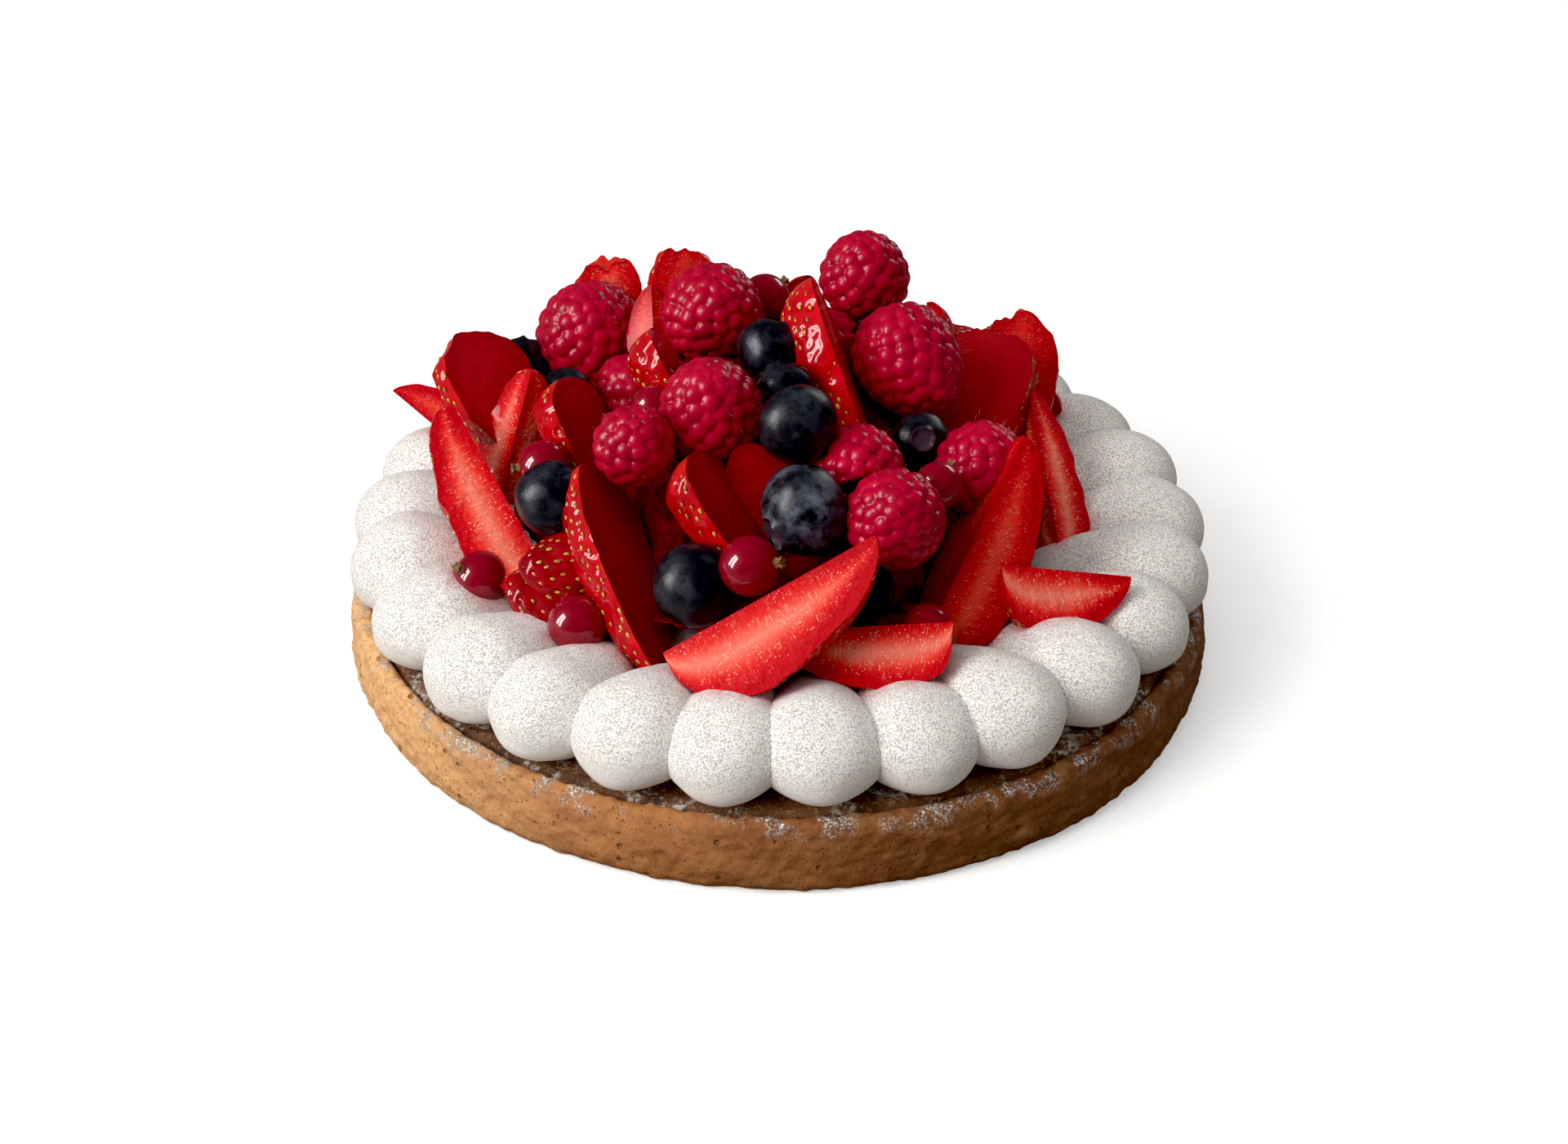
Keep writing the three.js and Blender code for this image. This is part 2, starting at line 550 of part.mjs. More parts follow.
// Every fruit in its place, the round ones first because they stay whole
function fruitInPlace() {
  const list = [];
  const add = (name, kind, solid, frame) => list.push({ name, kind, solid: placed(solid, frame) });
  for (const item of RASPBERRIES) {
    let solid = raspberry(item);
    if (item.name === 'raspberry_hollow') solid = solid.subtract(pickedHollow(item));
    add(item.name, 'raspberry', solid, roundFrame(item.at, item.tip));
  }
  for (const item of BLUEBERRIES) {
    add(item.name, 'blueberry', blueberry(item), roundFrame(item.at, item.crown));
  }
  for (const item of REDCURRANTS) {
    add(item.name, 'redcurrant', redcurrant(item), roundFrame(item.at, item.flower));
  }
  for (const item of STRAWBERRIES) {
    add(item.name, 'strawberry', strawberryPiece(item), pieceFrame(item));
  }
  return list;
}

// Tests for a place inside each fruit, made larger all round by a margin
function fruitTests() {
  const egg = (at, way, wide, long) => {
    const back = roundFrame(at, way).invert();
    return (place, margin) => {
      const spot = place.clone().applyMatrix4(back);
      const across = Math.hypot(spot.x, spot.y);
      return Math.hypot(across / (wide + margin), spot.z / (long + margin)) < 1;
    };
  };
  const piece = (item) => {
    const back = pieceFrame(item).invert();
    const length = pieceLength(item);
    const cuts = cutPlanes(item).map(([turn, offset]) => [sideways(turn), offset]);
    return (place, margin) => {
      const spot = place.clone().applyMatrix4(back);
      const along = spot.z / length;
      if (along < -margin / length || along > 1 + margin / length) return false;
      const width = item.wide * strawberryWidth(THREE.MathUtils.clamp(along, 0, 1)) + margin;
      if (Math.hypot(spot.x, spot.y) > width) return false;
      return cuts.every(([normal, offset]) => spot.dot(normal) > offset - margin);
    };
  };
  return [
    ...RASPBERRIES.map(({ at, tip, wide, long }) => egg(at, tip, wide, long)),
    ...BLUEBERRIES.map(({ at, crown, radius }) => egg(at, crown, radius, radius * BLUEBERRY_SQUASH)),
    ...REDCURRANTS.map(({ at, flower, radius }) => egg(at, flower, radius, radius)),
    ...STRAWBERRIES.map(piece),
  ];
}

const TESTS = fruitTests();

// True where no fruit comes nearer than the margin
function clearOfFruit(x, y, z, margin) {
  const place = new THREE.Vector3(x, y, z);
  return !TESTS.some((inside) => inside(place, margin));
}

// True where the boxes round two solids meet
function near(one, other) {
  const [a, b] = [one.boundingBox(), other.boundingBox()];
  return [0, 1, 2].every((axis) => a.min[axis] < b.max[axis] && b.min[axis] < a.max[axis]);
}

// Cuts a piece where others press into it, with room round them
function makeRoom(solid, rooms) {
  let rest = solid;
  for (const room of rooms) {
    if (near(rest, room) && rest.intersect(room).volume() > 1e-4) rest = rest.subtract(room);
  }
  return largest(rest);
}

// Lets a soft shape give way: its upper points sink wherever another piece presses into it
function givingWay(shape, rooms, lowest) {
  const places = shape.getAttribute('position');
  const beside = rooms.filter((room) => near(toSolid(shape), room));
  let pressed = true;
  for (let round = 0; round < SINK_ROUNDS && pressed; round += 1) {
    const solid = toSolid(shape);
    pressed = false;
    for (const room of beside) {
      const overlap = solid.intersect(room);
      if (overlap.volume() < 0.001) continue;
      const { min, max } = overlap.boundingBox();
      for (let i = 0; i < places.count; i += 1) {
        const point = [places.getX(i), places.getY(i), places.getZ(i)];
        const above = point.every((value, axis) => value > min[axis] - SINK_SPREAD);
        const below = point.every((value, axis) => value < max[axis] + SINK_SPREAD);
        if (!above || !below || point[2] < lowest) continue;
        places.setZ(i, Math.max(point[2] - SINK_STEP, lowest));
        pressed = true;
      }
    }
  }
  return toSolid(shape);
}

// Physical looks of each kind of piece
const FINISH = {
  crust: { color: COLOUR.crust, roughness: 0.85 },
  filling: { color: COLOUR.filling, roughness: 0.8 },
  cream: { color: COLOUR.cream, roughness: 0.75 },
  core: { color: COLOUR.juice, roughness: 0.4 },
  raspberry: { color: COLOUR.raspberry, roughness: 0.45 },
  blueberry: { color: COLOUR.blueberry, roughness: 0.5 },
  redcurrant: { color: COLOUR.redcurrant, roughness: 0.15 },
  strawberry: { color: COLOUR.strawberry, roughness: 0.25 },
};

const group = new THREE.Group();

// Adds a named piece with its own material
function addPiece(name, finish, geometry) {
  const material = new THREE.MeshStandardMaterial({ ...FINISH[finish], metalness: 0 });
  const mesh = new THREE.Mesh(geometry, material);
  mesh.name = name;
  group.add(mesh);
}

addPiece('pastry_case', 'crust', toGeometry(toSolid(pastryCase())));
addPiece('almond_filling', 'filling', toGeometry(toSolid(almondFilling())));

const rooms = [];
for (const fruit of fruitInPlace()) {
  addPiece(fruit.name, fruit.kind, toGeometry(makeRoom(fruit.solid, rooms)));
  rooms.push(roomOf(fruit.solid));
}

const cream = makeRoom(givingWay(pipedCream(), rooms, CREAM_FOOT + 1), rooms);
addPiece('piped_cream', 'cream', toGeometry(cream));
const core = makeRoom(givingWay(heapCore(), rooms, HEAP_FOOT + HEAP_LIP), rooms);
addPiece('heap_core', 'core', toGeometry(core));

export default group;
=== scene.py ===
"""Berry tart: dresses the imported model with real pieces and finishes, in a plain pale studio.

Sizes and places are in millimetres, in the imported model's frame: +Z is up, -Y is the front.
They become metres where a mesh is written.
"""
from __future__ import annotations

import logging
import math
from dataclasses import dataclass, field
from enum import Enum
from typing import Callable

import bpy
import numpy as np
from mathutils import Matrix, Vector


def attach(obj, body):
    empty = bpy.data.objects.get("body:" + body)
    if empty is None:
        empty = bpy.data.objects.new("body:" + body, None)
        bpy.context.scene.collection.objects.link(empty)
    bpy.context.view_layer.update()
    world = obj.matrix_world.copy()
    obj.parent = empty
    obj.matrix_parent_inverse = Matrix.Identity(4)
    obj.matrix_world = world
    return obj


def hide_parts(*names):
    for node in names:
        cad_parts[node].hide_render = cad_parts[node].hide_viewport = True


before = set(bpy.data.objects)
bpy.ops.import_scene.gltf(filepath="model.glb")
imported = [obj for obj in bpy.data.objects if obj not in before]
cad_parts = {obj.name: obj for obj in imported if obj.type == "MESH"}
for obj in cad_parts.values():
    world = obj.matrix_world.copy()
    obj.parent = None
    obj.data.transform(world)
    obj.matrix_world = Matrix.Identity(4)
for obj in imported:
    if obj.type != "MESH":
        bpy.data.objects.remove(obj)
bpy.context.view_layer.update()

LOG = logging.getLogger("berry_tart")
MM = 0.001
MERGE = 0.002 * MM
GOLDEN_TURN = math.pi * (3.0 - math.sqrt(5.0))
LUMP_WAVES = 14

Triple = tuple[float, float, float]


class Draws:
    """The same run of fixed random numbers between 0 and 1 that the cream was laid out with."""

    def __init__(self, start: int) -> None:
        """Starts the run.

        Args:
            start: A whole number that picks the run.
        """
        self.state = start * 7919 + 17

    def draw(self) -> float:
        """Returns the next number."""
        self.state = self.state * 16807 % 2147483647
        return self.state / 2147483647


def deselect_all() -> None:
    """Deselects everything, so that an operator acts on one piece alone."""
    if bpy.context.object is not None and bpy.context.object.mode != "OBJECT":
        bpy.ops.object.mode_set(mode="OBJECT")
    bpy.ops.object.select_all(action="DESELECT")


def select_only(piece: bpy.types.Object) -> None:
    """Makes one piece the selected and active one."""
    deselect_all()
    piece.select_set(True)
    bpy.context.view_layer.objects.active = piece


def points_of(piece: bpy.types.Object) -> np.ndarray:
    """Returns a piece's points in metres, one row each."""
    flat = np.empty(len(piece.data.vertices) * 3)
    piece.data.vertices.foreach_get("co", flat)
    return flat.reshape(-1, 3)


def set_points(piece: bpy.types.Object, points: np.ndarray) -> None:
    """Moves a piece's points.

    Args:
        piece: The piece to shape.
        points: Its new points in millimetres, one row each.
    """
    piece.data.vertices.foreach_set("co", (points * MM).ravel())
    piece.data.update()


def store(piece: bpy.types.Object, name: str, values: np.ndarray) -> None:
    """Keeps one number for each point of a piece, for its material to read."""
    layer = piece.data.attributes.new(name, "FLOAT", "POINT")
    layer.data.foreach_set("value", np.ascontiguousarray(values, dtype=np.float32))


def wrap_sheet(name: str, columns: int, rows: int) -> tuple[bpy.types.Object, np.ndarray, np.ndarray]:
    """Adds a flat grid that is ready to be wrapped round a form.

    Args:
        name: The new piece's name.
        columns: Faces across the grid.
        rows: Faces up the grid.

    Returns:
        The grid, and each point's share across it and up it, from 0 to 1.
    """
    deselect_all()
    bpy.ops.mesh.primitive_grid_add(x_subdivisions=columns, y_subdivisions=rows, size=1.0)
    grid = bpy.context.object
    grid.name = name
    flat = points_of(grid)
    return grid, flat[:, 0] + 0.5, flat[:, 1] + 0.5


def close_up(piece: bpy.types.Object, crease_deg: float) -> None:
    """Closes the seams of a wrapped piece, points its faces outwards and smooths it.

    Args:
        piece: The piece to finish.
        crease_deg: Edges that turn more than this stay sharp.
    """
    select_only(piece)
    bpy.ops.object.mode_set(mode="EDIT")
    bpy.ops.mesh.select_all(action="SELECT")
    bpy.ops.mesh.remove_doubles(threshold=MERGE)
    bpy.ops.mesh.dissolve_degenerate(threshold=MERGE)
    bpy.ops.mesh.select_all(action="SELECT")
    bpy.ops.mesh.normals_make_consistent(inside=False)
    bpy.ops.object.mode_set(mode="OBJECT")
    bpy.ops.object.shade_smooth_by_angle(angle=math.radians(crease_deg))


def join(pieces: list[bpy.types.Object], name: str) -> bpy.types.Object:
    """Joins several pieces into one.

    Args:
        pieces: The pieces, of which the first one stays.
        name: The name of the whole.

    Returns:
        The joined piece.
    """
    deselect_all()
    for piece in pieces:
        piece.select_set(True)
    bpy.context.view_layer.objects.active = pieces[0]
    if len(pieces) > 1:
        bpy.ops.object.join()
    pieces[0].name = name
    return pieces[0]


def repeated(master: bpy.types.Object, places: list[np.ndarray], name: str) -> bpy.types.Object:
    """Makes one mesh from many copies of a small piece.

    Args:
        master: The piece to copy, whose points are in millimetres.
        places: A 4x4 matrix in millimetres for each copy.
        name: The name of the new mesh's object.

    Returns:
        The object that holds all the copies.
    """
    shape = points_of(master)
    faces = [tuple(face.vertices) for face in master.data.polygons]
    count = len(shape)
    stack = np.empty((len(places) * count, 3))
    every: list[tuple[int, ...]] = []
    for index, place in enumerate(places):
        stack[index * count:(index + 1) * count] = shape @ place[:3, :3].T + place[:3, 3]
        every.extend(tuple(corner + index * count for corner in face) for face in faces)
    mesh = bpy.data.meshes.new(name)
    mesh.from_pydata((stack * MM).tolist(), [], every)
    made = bpy.data.objects.new(name, mesh)
    bpy.context.collection.objects.link(made)
    for face in mesh.polygons:
        face.use_smooth = True
    return made


def lumps(points: np.ndarray, length: float, seed: int) -> np.ndarray:
    """Smooth random unevenness, from waves that run in random directions.

    Args:
        points: Places in millimetres, one row each.
        length: The usual length of a wave in millimetres.
        seed: Picks the waves.

    Returns:
        A number for each place, mostly between -1 and 1.
    """
    random = np.random.default_rng(seed)
    total = np.zeros(len(points))
    for _ in range(LUMP_WAVES):
        way = random.normal(size=3)
        way *= 2.0 * math.pi / (np.linalg.norm(way) * length * random.uniform(0.6, 1.6))
        total += np.sin(points @ way + random.uniform(0.0, 2.0 * math.pi))
    return total / math.sqrt(LUMP_WAVES * 0.9)


def frame_matrix(across: np.ndarray, side: np.ndarray, along: np.ndarray, at: np.ndarray) -> np.ndarray:
    """Returns the 4x4 matrix with these three directions and this place."""
    place = np.eye(4)
    place[:3, 0] = across
    place[:3, 1] = side
    place[:3, 2] = along
    place[:3, 3] = at
    return place


def round_frame(at: Triple, way: Triple) -> np.ndarray:
    """Where a round fruit lies, with its own +Z turned the shortest way to a direction.

    Args:
        at: Its middle in millimetres.
        way: Where its +Z points.

    Returns:
        The 4x4 matrix that sets it in place.
    """
    turn = Vector((0.0, 0.0, 1.0)).rotation_difference(Vector(way).normalized()).to_matrix()
    place = np.eye(4)
    place[:3, :3] = np.array(turn)
    place[:3, 3] = at
    return place


def moved(points: np.ndarray, place: np.ndarray) -> np.ndarray:
    """Returns points carried by a 4x4 matrix."""
    return points @ place[:3, :3].T + place[:3, 3]


class NodeDesk:
    """Adds and links nodes in one material or group."""

    def __init__(self, tree: bpy.types.NodeTree) -> None:
        """Works on a node tree."""
        self.tree = tree

    def add(self, kind: str, inputs: dict | None = None, **settings: object) -> bpy.types.Node:
        """Adds a node.

        Args:
            kind: Blender's name of the node type.
            inputs: A socket to link or a value to set, for each input by name or number.
            settings: Properties of the node itself.

        Returns:
            The new node.
        """
        node = self.tree.nodes.new(kind)
        for name, value in settings.items():
            setattr(node, name, value)
        for name, value in (inputs or {}).items():
            socket = node.inputs[name]
            if isinstance(value, bpy.types.NodeSocket):
                self.tree.links.new(value, socket)
            else:
                socket.default_value = value
        return node

    def place(self) -> bpy.types.NodeSocket:
        """Returns the place on the piece in metres."""
        return self.add("ShaderNodeTexCoord").outputs["Object"]

    def kept(self, name: str) -> bpy.types.NodeSocket:
        """Returns the number that the mesh keeps at each point under a name."""
        return self.add("ShaderNodeAttribute", attribute_name=name).outputs["Fac"]

    def calc(self, kind: str, first: object, second: object) -> bpy.types.NodeSocket:
        """Returns the result of one sum, product or other step on numbers.

        Args:
            kind: Blender's name of the step.
            first: A number or a socket.
            second: A number or a socket.
        """
        return self.add("ShaderNodeMath", {0: first, 1: second}, operation=kind).outputs[0]

    def noise(self, where: object, size_mm: float, detail: float = 3.0,
              rough: float = 0.55) -> bpy.types.NodeSocket:
        """Returns soft noise.

        Args:
            where: The socket that gives the place in metres.
            size_mm: The size of its blotches.
            detail: How many finer layers it has.
            rough: How strong the finer layers are.
        """
        inputs = {"Vector": where, "Scale": 1.0 / (size_mm * MM), "Detail": detail, "Roughness": rough}
        return self.add("ShaderNodeTexNoise", inputs).outputs["Fac"]

    def step(self, value: object, low: object, high: object) -> bpy.types.NodeSocket:
        """Returns 0 below one number and 1 above another, with a smooth rise between.

        Args:
            value: The socket to read.
            low: Where the rise starts, a number or a socket.
            high: Where it ends, a number or a socket.
        """
        inputs = {"Value": value, "From Min": low, "From Max": high}
        return self.add("ShaderNodeMapRange", inputs, interpolation_type="SMOOTHSTEP").outputs[0]

    def blend(self, share: object, first: object, second: object) -> bpy.types.NodeSocket:
        """Returns a mix of two colours.

        Args:
            share: How much of the second colour there is.
            first: A colour or a socket.
            second: A colour or a socket.
        """
        node = self.add("ShaderNodeMix", data_type="RGBA")
        for socket, value in ((node.inputs[0], share), (node.inputs[6], first), (node.inputs[7], second)):
            if isinstance(value, bpy.types.NodeSocket):
                self.tree.links.new(value, socket)
            else:
                socket.default_value = value if isinstance(value, float) else (*value, 1.0)
        return node.outputs[2]

    def ramp(self, value: object, stops: list[tuple[float, Triple]]) -> bpy.types.NodeSocket:
        """Returns a colour that changes with a number.

        Args:
            value: The socket to read.
            stops: Numbers from 0 to 1 with their colours.
        """
        node = self.add("ShaderNodeValToRGB", {"Fac": value})
        stop_list = node.color_ramp.elements
        while len(stop_list) < len(stops):
            stop_list.new(0.5)
        for stop, (at, colour) in zip(stop_list, stops):
            stop.position = at
            stop.color = (*colour, 1.0)
        return node.outputs["Color"]

    def bump(self, height: object, depth_mm: float) -> bpy.types.NodeSocket:
        """Returns a normal that follows a height.

        Args:
            height: The height from 0 to 1.
            depth_mm: How deep 1 is.
        """
        inputs = {"Height": height, "Distance": depth_mm * MM, "Strength": 1.0}
        return self.add("ShaderNodeBump", inputs).outputs["Normal"]


def new_group(name: str, takes: dict[str, float]) -> tuple[bpy.types.NodeTree, NodeDesk, dict, object]:
    """Starts a shared shader effect that gives a mask.

    Args:
        name: The group's name.
        takes: Its inputs with their usual values.

    Returns:
        The group, a desk to build it on, its input sockets and its output socket.
    """
    group = bpy.data.node_groups.new(name, "ShaderNodeTree")
    group.interface.new_socket(name="Place", in_out="INPUT", socket_type="NodeSocketVector")
    for label, value in takes.items():
        socket = group.interface.new_socket(name=label, in_out="INPUT", socket_type="NodeSocketFloat")
        socket.default_value = value
    group.interface.new_socket(name="Mask", in_out="OUTPUT", socket_type="NodeSocketFloat")
    desk = NodeDesk(group)
    start = desk.add("NodeGroupInput")
    end = desk.add("NodeGroupOutput")
    return group, desk, dict(start.outputs.items()), end.inputs["Mask"]


def specks_group() -> bpy.types.NodeTree:
    """Makes the shared effect of small round specks.

    Returns:
        A group that takes Place, Scale, Share and Size, and gives the mask of the specks.
    """
    group, desk, takes, end = new_group("specks", {"Scale": 500.0, "Share": 0.1, "Size": 0.3})
    cells = desk.add("ShaderNodeTexVoronoi", {"Vector": takes["Place"], "Scale": takes["Scale"]})
    pick = desk.add("ShaderNodeSeparateColor", {0: cells.outputs["Color"]}).outputs[0]
    chosen = desk.calc("LESS_THAN", pick, takes["Share"])
    shade = desk.calc("DIVIDE", cells.outputs["Distance"], takes["Size"])
    spot = desk.step(shade, 1.0, 0.55)
    group.links.new(desk.calc("MULTIPLY", chosen, spot), end)
    return group


def mottle_group() -> bpy.types.NodeTree:
    """Makes the shared effect of patchy colour.

    Returns:
        A group that takes Place, Scale, Low and High, and gives the mask of the patches.
    """
    group, desk, takes, end = new_group("mottle", {"Scale": 200.0, "Low": 0.4, "High": 0.6})
    inputs = {"Vector": takes["Place"], "Scale": takes["Scale"], "Detail": 5.0, "Roughness": 0.62}
    cloud = desk.add("ShaderNodeTexNoise", inputs).outputs["Fac"]
    group.links.new(desk.step(cloud, takes["Low"], takes["High"]), end)
    return group


@dataclass
class Effects:
    """The shared shader effects, each built once."""

    specks: bpy.types.NodeTree = field(default_factory=specks_group)
    mottle: bpy.types.NodeTree = field(default_factory=mottle_group)

    def speck(self, desk: NodeDesk, where: object, size_mm: float, share: float, size: float) -> object:
        """Returns a mask of small round specks.

        Args:
            desk: The desk of the material.
            where: The place in metres.
            size_mm: How far apart the cells are that may hold one.
            share: The share of the cells that hold one.
            size: How large a speck is in its cell.
        """
        inputs = {"Place": where, "Scale": 1.0 / (size_mm * MM), "Share": share, "Size": size}
        return desk.add("ShaderNodeGroup", inputs, node_tree=self.specks).outputs[0]

    def patch(self, desk: NodeDesk, where: object, size_mm: float, low: float, high: float) -> object:
        """Returns a mask of soft patches.

        Args:
            desk: The desk of the material.
            where: The place in metres.
            size_mm: The size of the patches.
            low: The noise where a patch starts.
            high: The noise where it is full.
        """
        inputs = {"Place": where, "Scale": 1.0 / (size_mm * MM), "Low": low, "High": high}
        return desk.add("ShaderNodeGroup", inputs, node_tree=self.mottle).outputs[0]


def start_material(name: str) -> tuple[bpy.types.Material, NodeDesk, bpy.types.Node]:
    """Starts a material.

    Args:
        name: The material's name.

    Returns:
        The material, a desk to build it on and its Principled shader.
    """
    material = bpy.data.materials.new(name)
    material.use_nodes = True
    return material, NodeDesk(material.node_tree), material.node_tree.nodes["Principled BSDF"]


def dress(desk: NodeDesk, shader: bpy.types.Node, values: dict) -> None:
    """Sets or links a shader's inputs.

    Args:
        desk: The desk of the material.
        shader: The Principled shader.
        values: A value or a socket for each input by name.
    """
    for name, value in values.items():
        if isinstance(value, bpy.types.NodeSocket):
            desk.tree.links.new(value, shader.inputs[name])
        elif isinstance(value, tuple) and len(value) == 3 and name != "Subsurface Radius":
            shader.inputs[name].default_value = (*value, 1.0)
        else:
            shader.inputs[name].default_value = value


@dataclass(frozen=True)
class CrustFinish:
    """Baked pastry: golden brown and porous, with powder sugar; painted light on its left, painted shade
    towards its right and in its pores.
    """

    gold: Triple = (0.46, 0.195, 0.065)
    brown: Triple = (0.30, 0.105, 0.036)
    painted_light_gold: Triple = (0.80, 0.47, 0.21)
    painted_shade_brown: Triple = (0.12, 0.038, 0.014)
    pale: Triple = (0.58, 0.30, 0.12)
    pore_shade: Triple = (0.13, 0.045, 0.016)
    sugar: Triple = (0.90, 0.84, 0.77)

    def material(self, effects: Effects) -> bpy.types.Material:
        """Makes the material.

        Args:
            effects: The shared effects.

        Returns:
            The crust material.
        """
        material, desk, shader = start_material("baked_crust")
        where = desk.place()
        body = desk.blend(desk.step(desk.noise(where, 16.0), 0.35, 0.68), self.gold, self.brown)
        side = desk.add("ShaderNodeSeparateXYZ", {0: where}).outputs["X"]
        # Painted light: paler gold on the left, where the window light falls.
        body = desk.blend(desk.step(side, -0.02, -0.085), body, self.painted_light_gold)
        # Painted shade: darker brown towards the right, away from the light.
        body = desk.blend(desk.calc("MULTIPLY", desk.step(side, -0.04, 0.04), 0.75), body, self.painted_shade_brown)
        lighter = desk.calc("MULTIPLY", effects.patch(desk, where, 4.0, 0.5, 0.75), 0.4)
        body = desk.blend(lighter, body, self.pale)
        fine = desk.noise(where, 1.1, 4.0, 0.65)
        body = desk.blend(desk.calc("MULTIPLY", desk.step(fine, 0.62, 0.3), 0.4), body, self.brown)
        pores = effects.speck(desk, where, 2.4, 0.16, 0.26)
        small = effects.speck(desk, where, 0.8, 0.3, 0.3)
        holes = desk.calc("MAXIMUM", pores, desk.calc("MULTIPLY", small, 0.6))
        # Painted shade in the pores: the holes are darkened as well as dented.
        body = desk.blend(desk.calc("MULTIPLY", holes, 0.6), body, self.pore_shade)
        dust = desk.calc("MULTIPLY", desk.kept("sugar"), effects.patch(desk, where, 5.0, 0.47, 0.6))
        grain = desk.step(desk.noise(where, 0.5, 3.0, 0.7), 0.42, 0.6)
        dust = desk.calc("MULTIPLY", dust, grain)
        body = desk.blend(desk.calc("MULTIPLY", dust, 0.9), body, self.sugar)
        height = desk.calc("SUBTRACT", desk.calc("MULTIPLY", fine, 0.5), desk.calc("MULTIPLY", holes, 0.8))
        height = desk.calc("ADD", height, desk.calc("MULTIPLY", dust, 0.5))
        dress(desk, shader, {
            "Base Color": body, "Roughness": 0.82, "Specular IOR Level": 0.25,
            "Normal": desk.bump(height, 0.5),
        })
        return material


@dataclass(frozen=True)
class FillingFinish:
    """The browned almond filling inside the lip."""

    brown: Triple = (0.20, 0.092, 0.042)
    dark: Triple = (0.095, 0.04, 0.02)
    pale: Triple = (0.5, 0.27, 0.11)
    sugar: Triple = (0.84, 0.78, 0.7)

    def material(self, effects: Effects) -> bpy.types.Material:
        """Makes the material.

        Args:
            effects: The shared effects.

        Returns:
            The filling material.
        """
        material, desk, shader = start_material("almond_filling")
        where = desk.place()
        body = desk.blend(desk.step(desk.noise(where, 7.0), 0.35, 0.65), self.brown, self.dark)
        fine = desk.noise(where, 0.9, 4.0, 0.7)
        body = desk.blend(desk.step(fine, 0.52, 0.72), body, self.pale)
        dust = desk.calc("MULTIPLY", effects.patch(desk, where, 6.0, 0.52, 0.62), desk.step(fine, 0.4, 0.6))
        body = desk.blend(desk.calc("MULTIPLY", dust, 0.8), body, self.sugar)
        dress(desk, shader, {
            "Base Color": body, "Roughness": 0.8, "Specular IOR Level": 0.3,
            "Normal": desk.bump(fine, 0.7),
        })
        return material


@dataclass(frozen=True)
class CreamFinish:
    """Whipped cream: soft off-white with fine sugar and vanilla specks, and pink near the fruit, partly
    stained and partly painted red bounce light.
    """

    cream: Triple = (0.92, 0.89, 0.845)
    juice_and_bounce: Triple = (0.84, 0.33, 0.34)
    vanilla: Triple = (0.10, 0.08, 0.08)

    def material(self, effects: Effects) -> bpy.types.Material:
        """Makes the material.

        Args:
            effects: The shared effects.

        Returns:
            The cream material.
        """
        material, desk, shader = start_material("whipped_cream")
        where = desk.place()
        # Pink near the fruit: partly stained by it, partly painted red light bounced off it.
        stain_and_bounce = desk.calc("MULTIPLY", desk.kept("juice_and_bounce"), desk.step(desk.noise(where, 3.0, 4.0), 0.28, 0.7))
        body = desk.blend(stain_and_bounce, self.cream, self.juice_and_bounce)
        specks = effects.speck(desk, where, 4.6, 0.10, 0.07)
        body = desk.blend(desk.calc("MULTIPLY", specks, 0.85), body, self.vanilla)
        grain = desk.noise(where, 0.32, 3.0, 0.7)
        pits = effects.speck(desk, where, 7.0, 0.10, 0.08)
        grit = desk.calc("MULTIPLY", desk.step(grain, 0.5, 0.7), desk.kept("grit"))
        height = desk.calc("ADD", grit, desk.calc("MULTIPLY", grain, 0.3))
        height = desk.calc("SUBTRACT", height, pits)
        dress(desk, shader, {
            "Base Color": body, "Roughness": 0.68, "Specular IOR Level": 0.3,
            "Subsurface Weight": 0.25, "Subsurface Radius": (1.0, 0.75, 0.55), "Subsurface Scale": 0.0012,
            "Normal": desk.bump(height, 0.26),
        })
        return material


class Flesh(Enum):
    """How ripe the cut face of a strawberry is; DARK is also painted shade, for faces that lie in shade."""

    PALE = "pale"
    RIPE = "ripe"
    DARK = "dark"


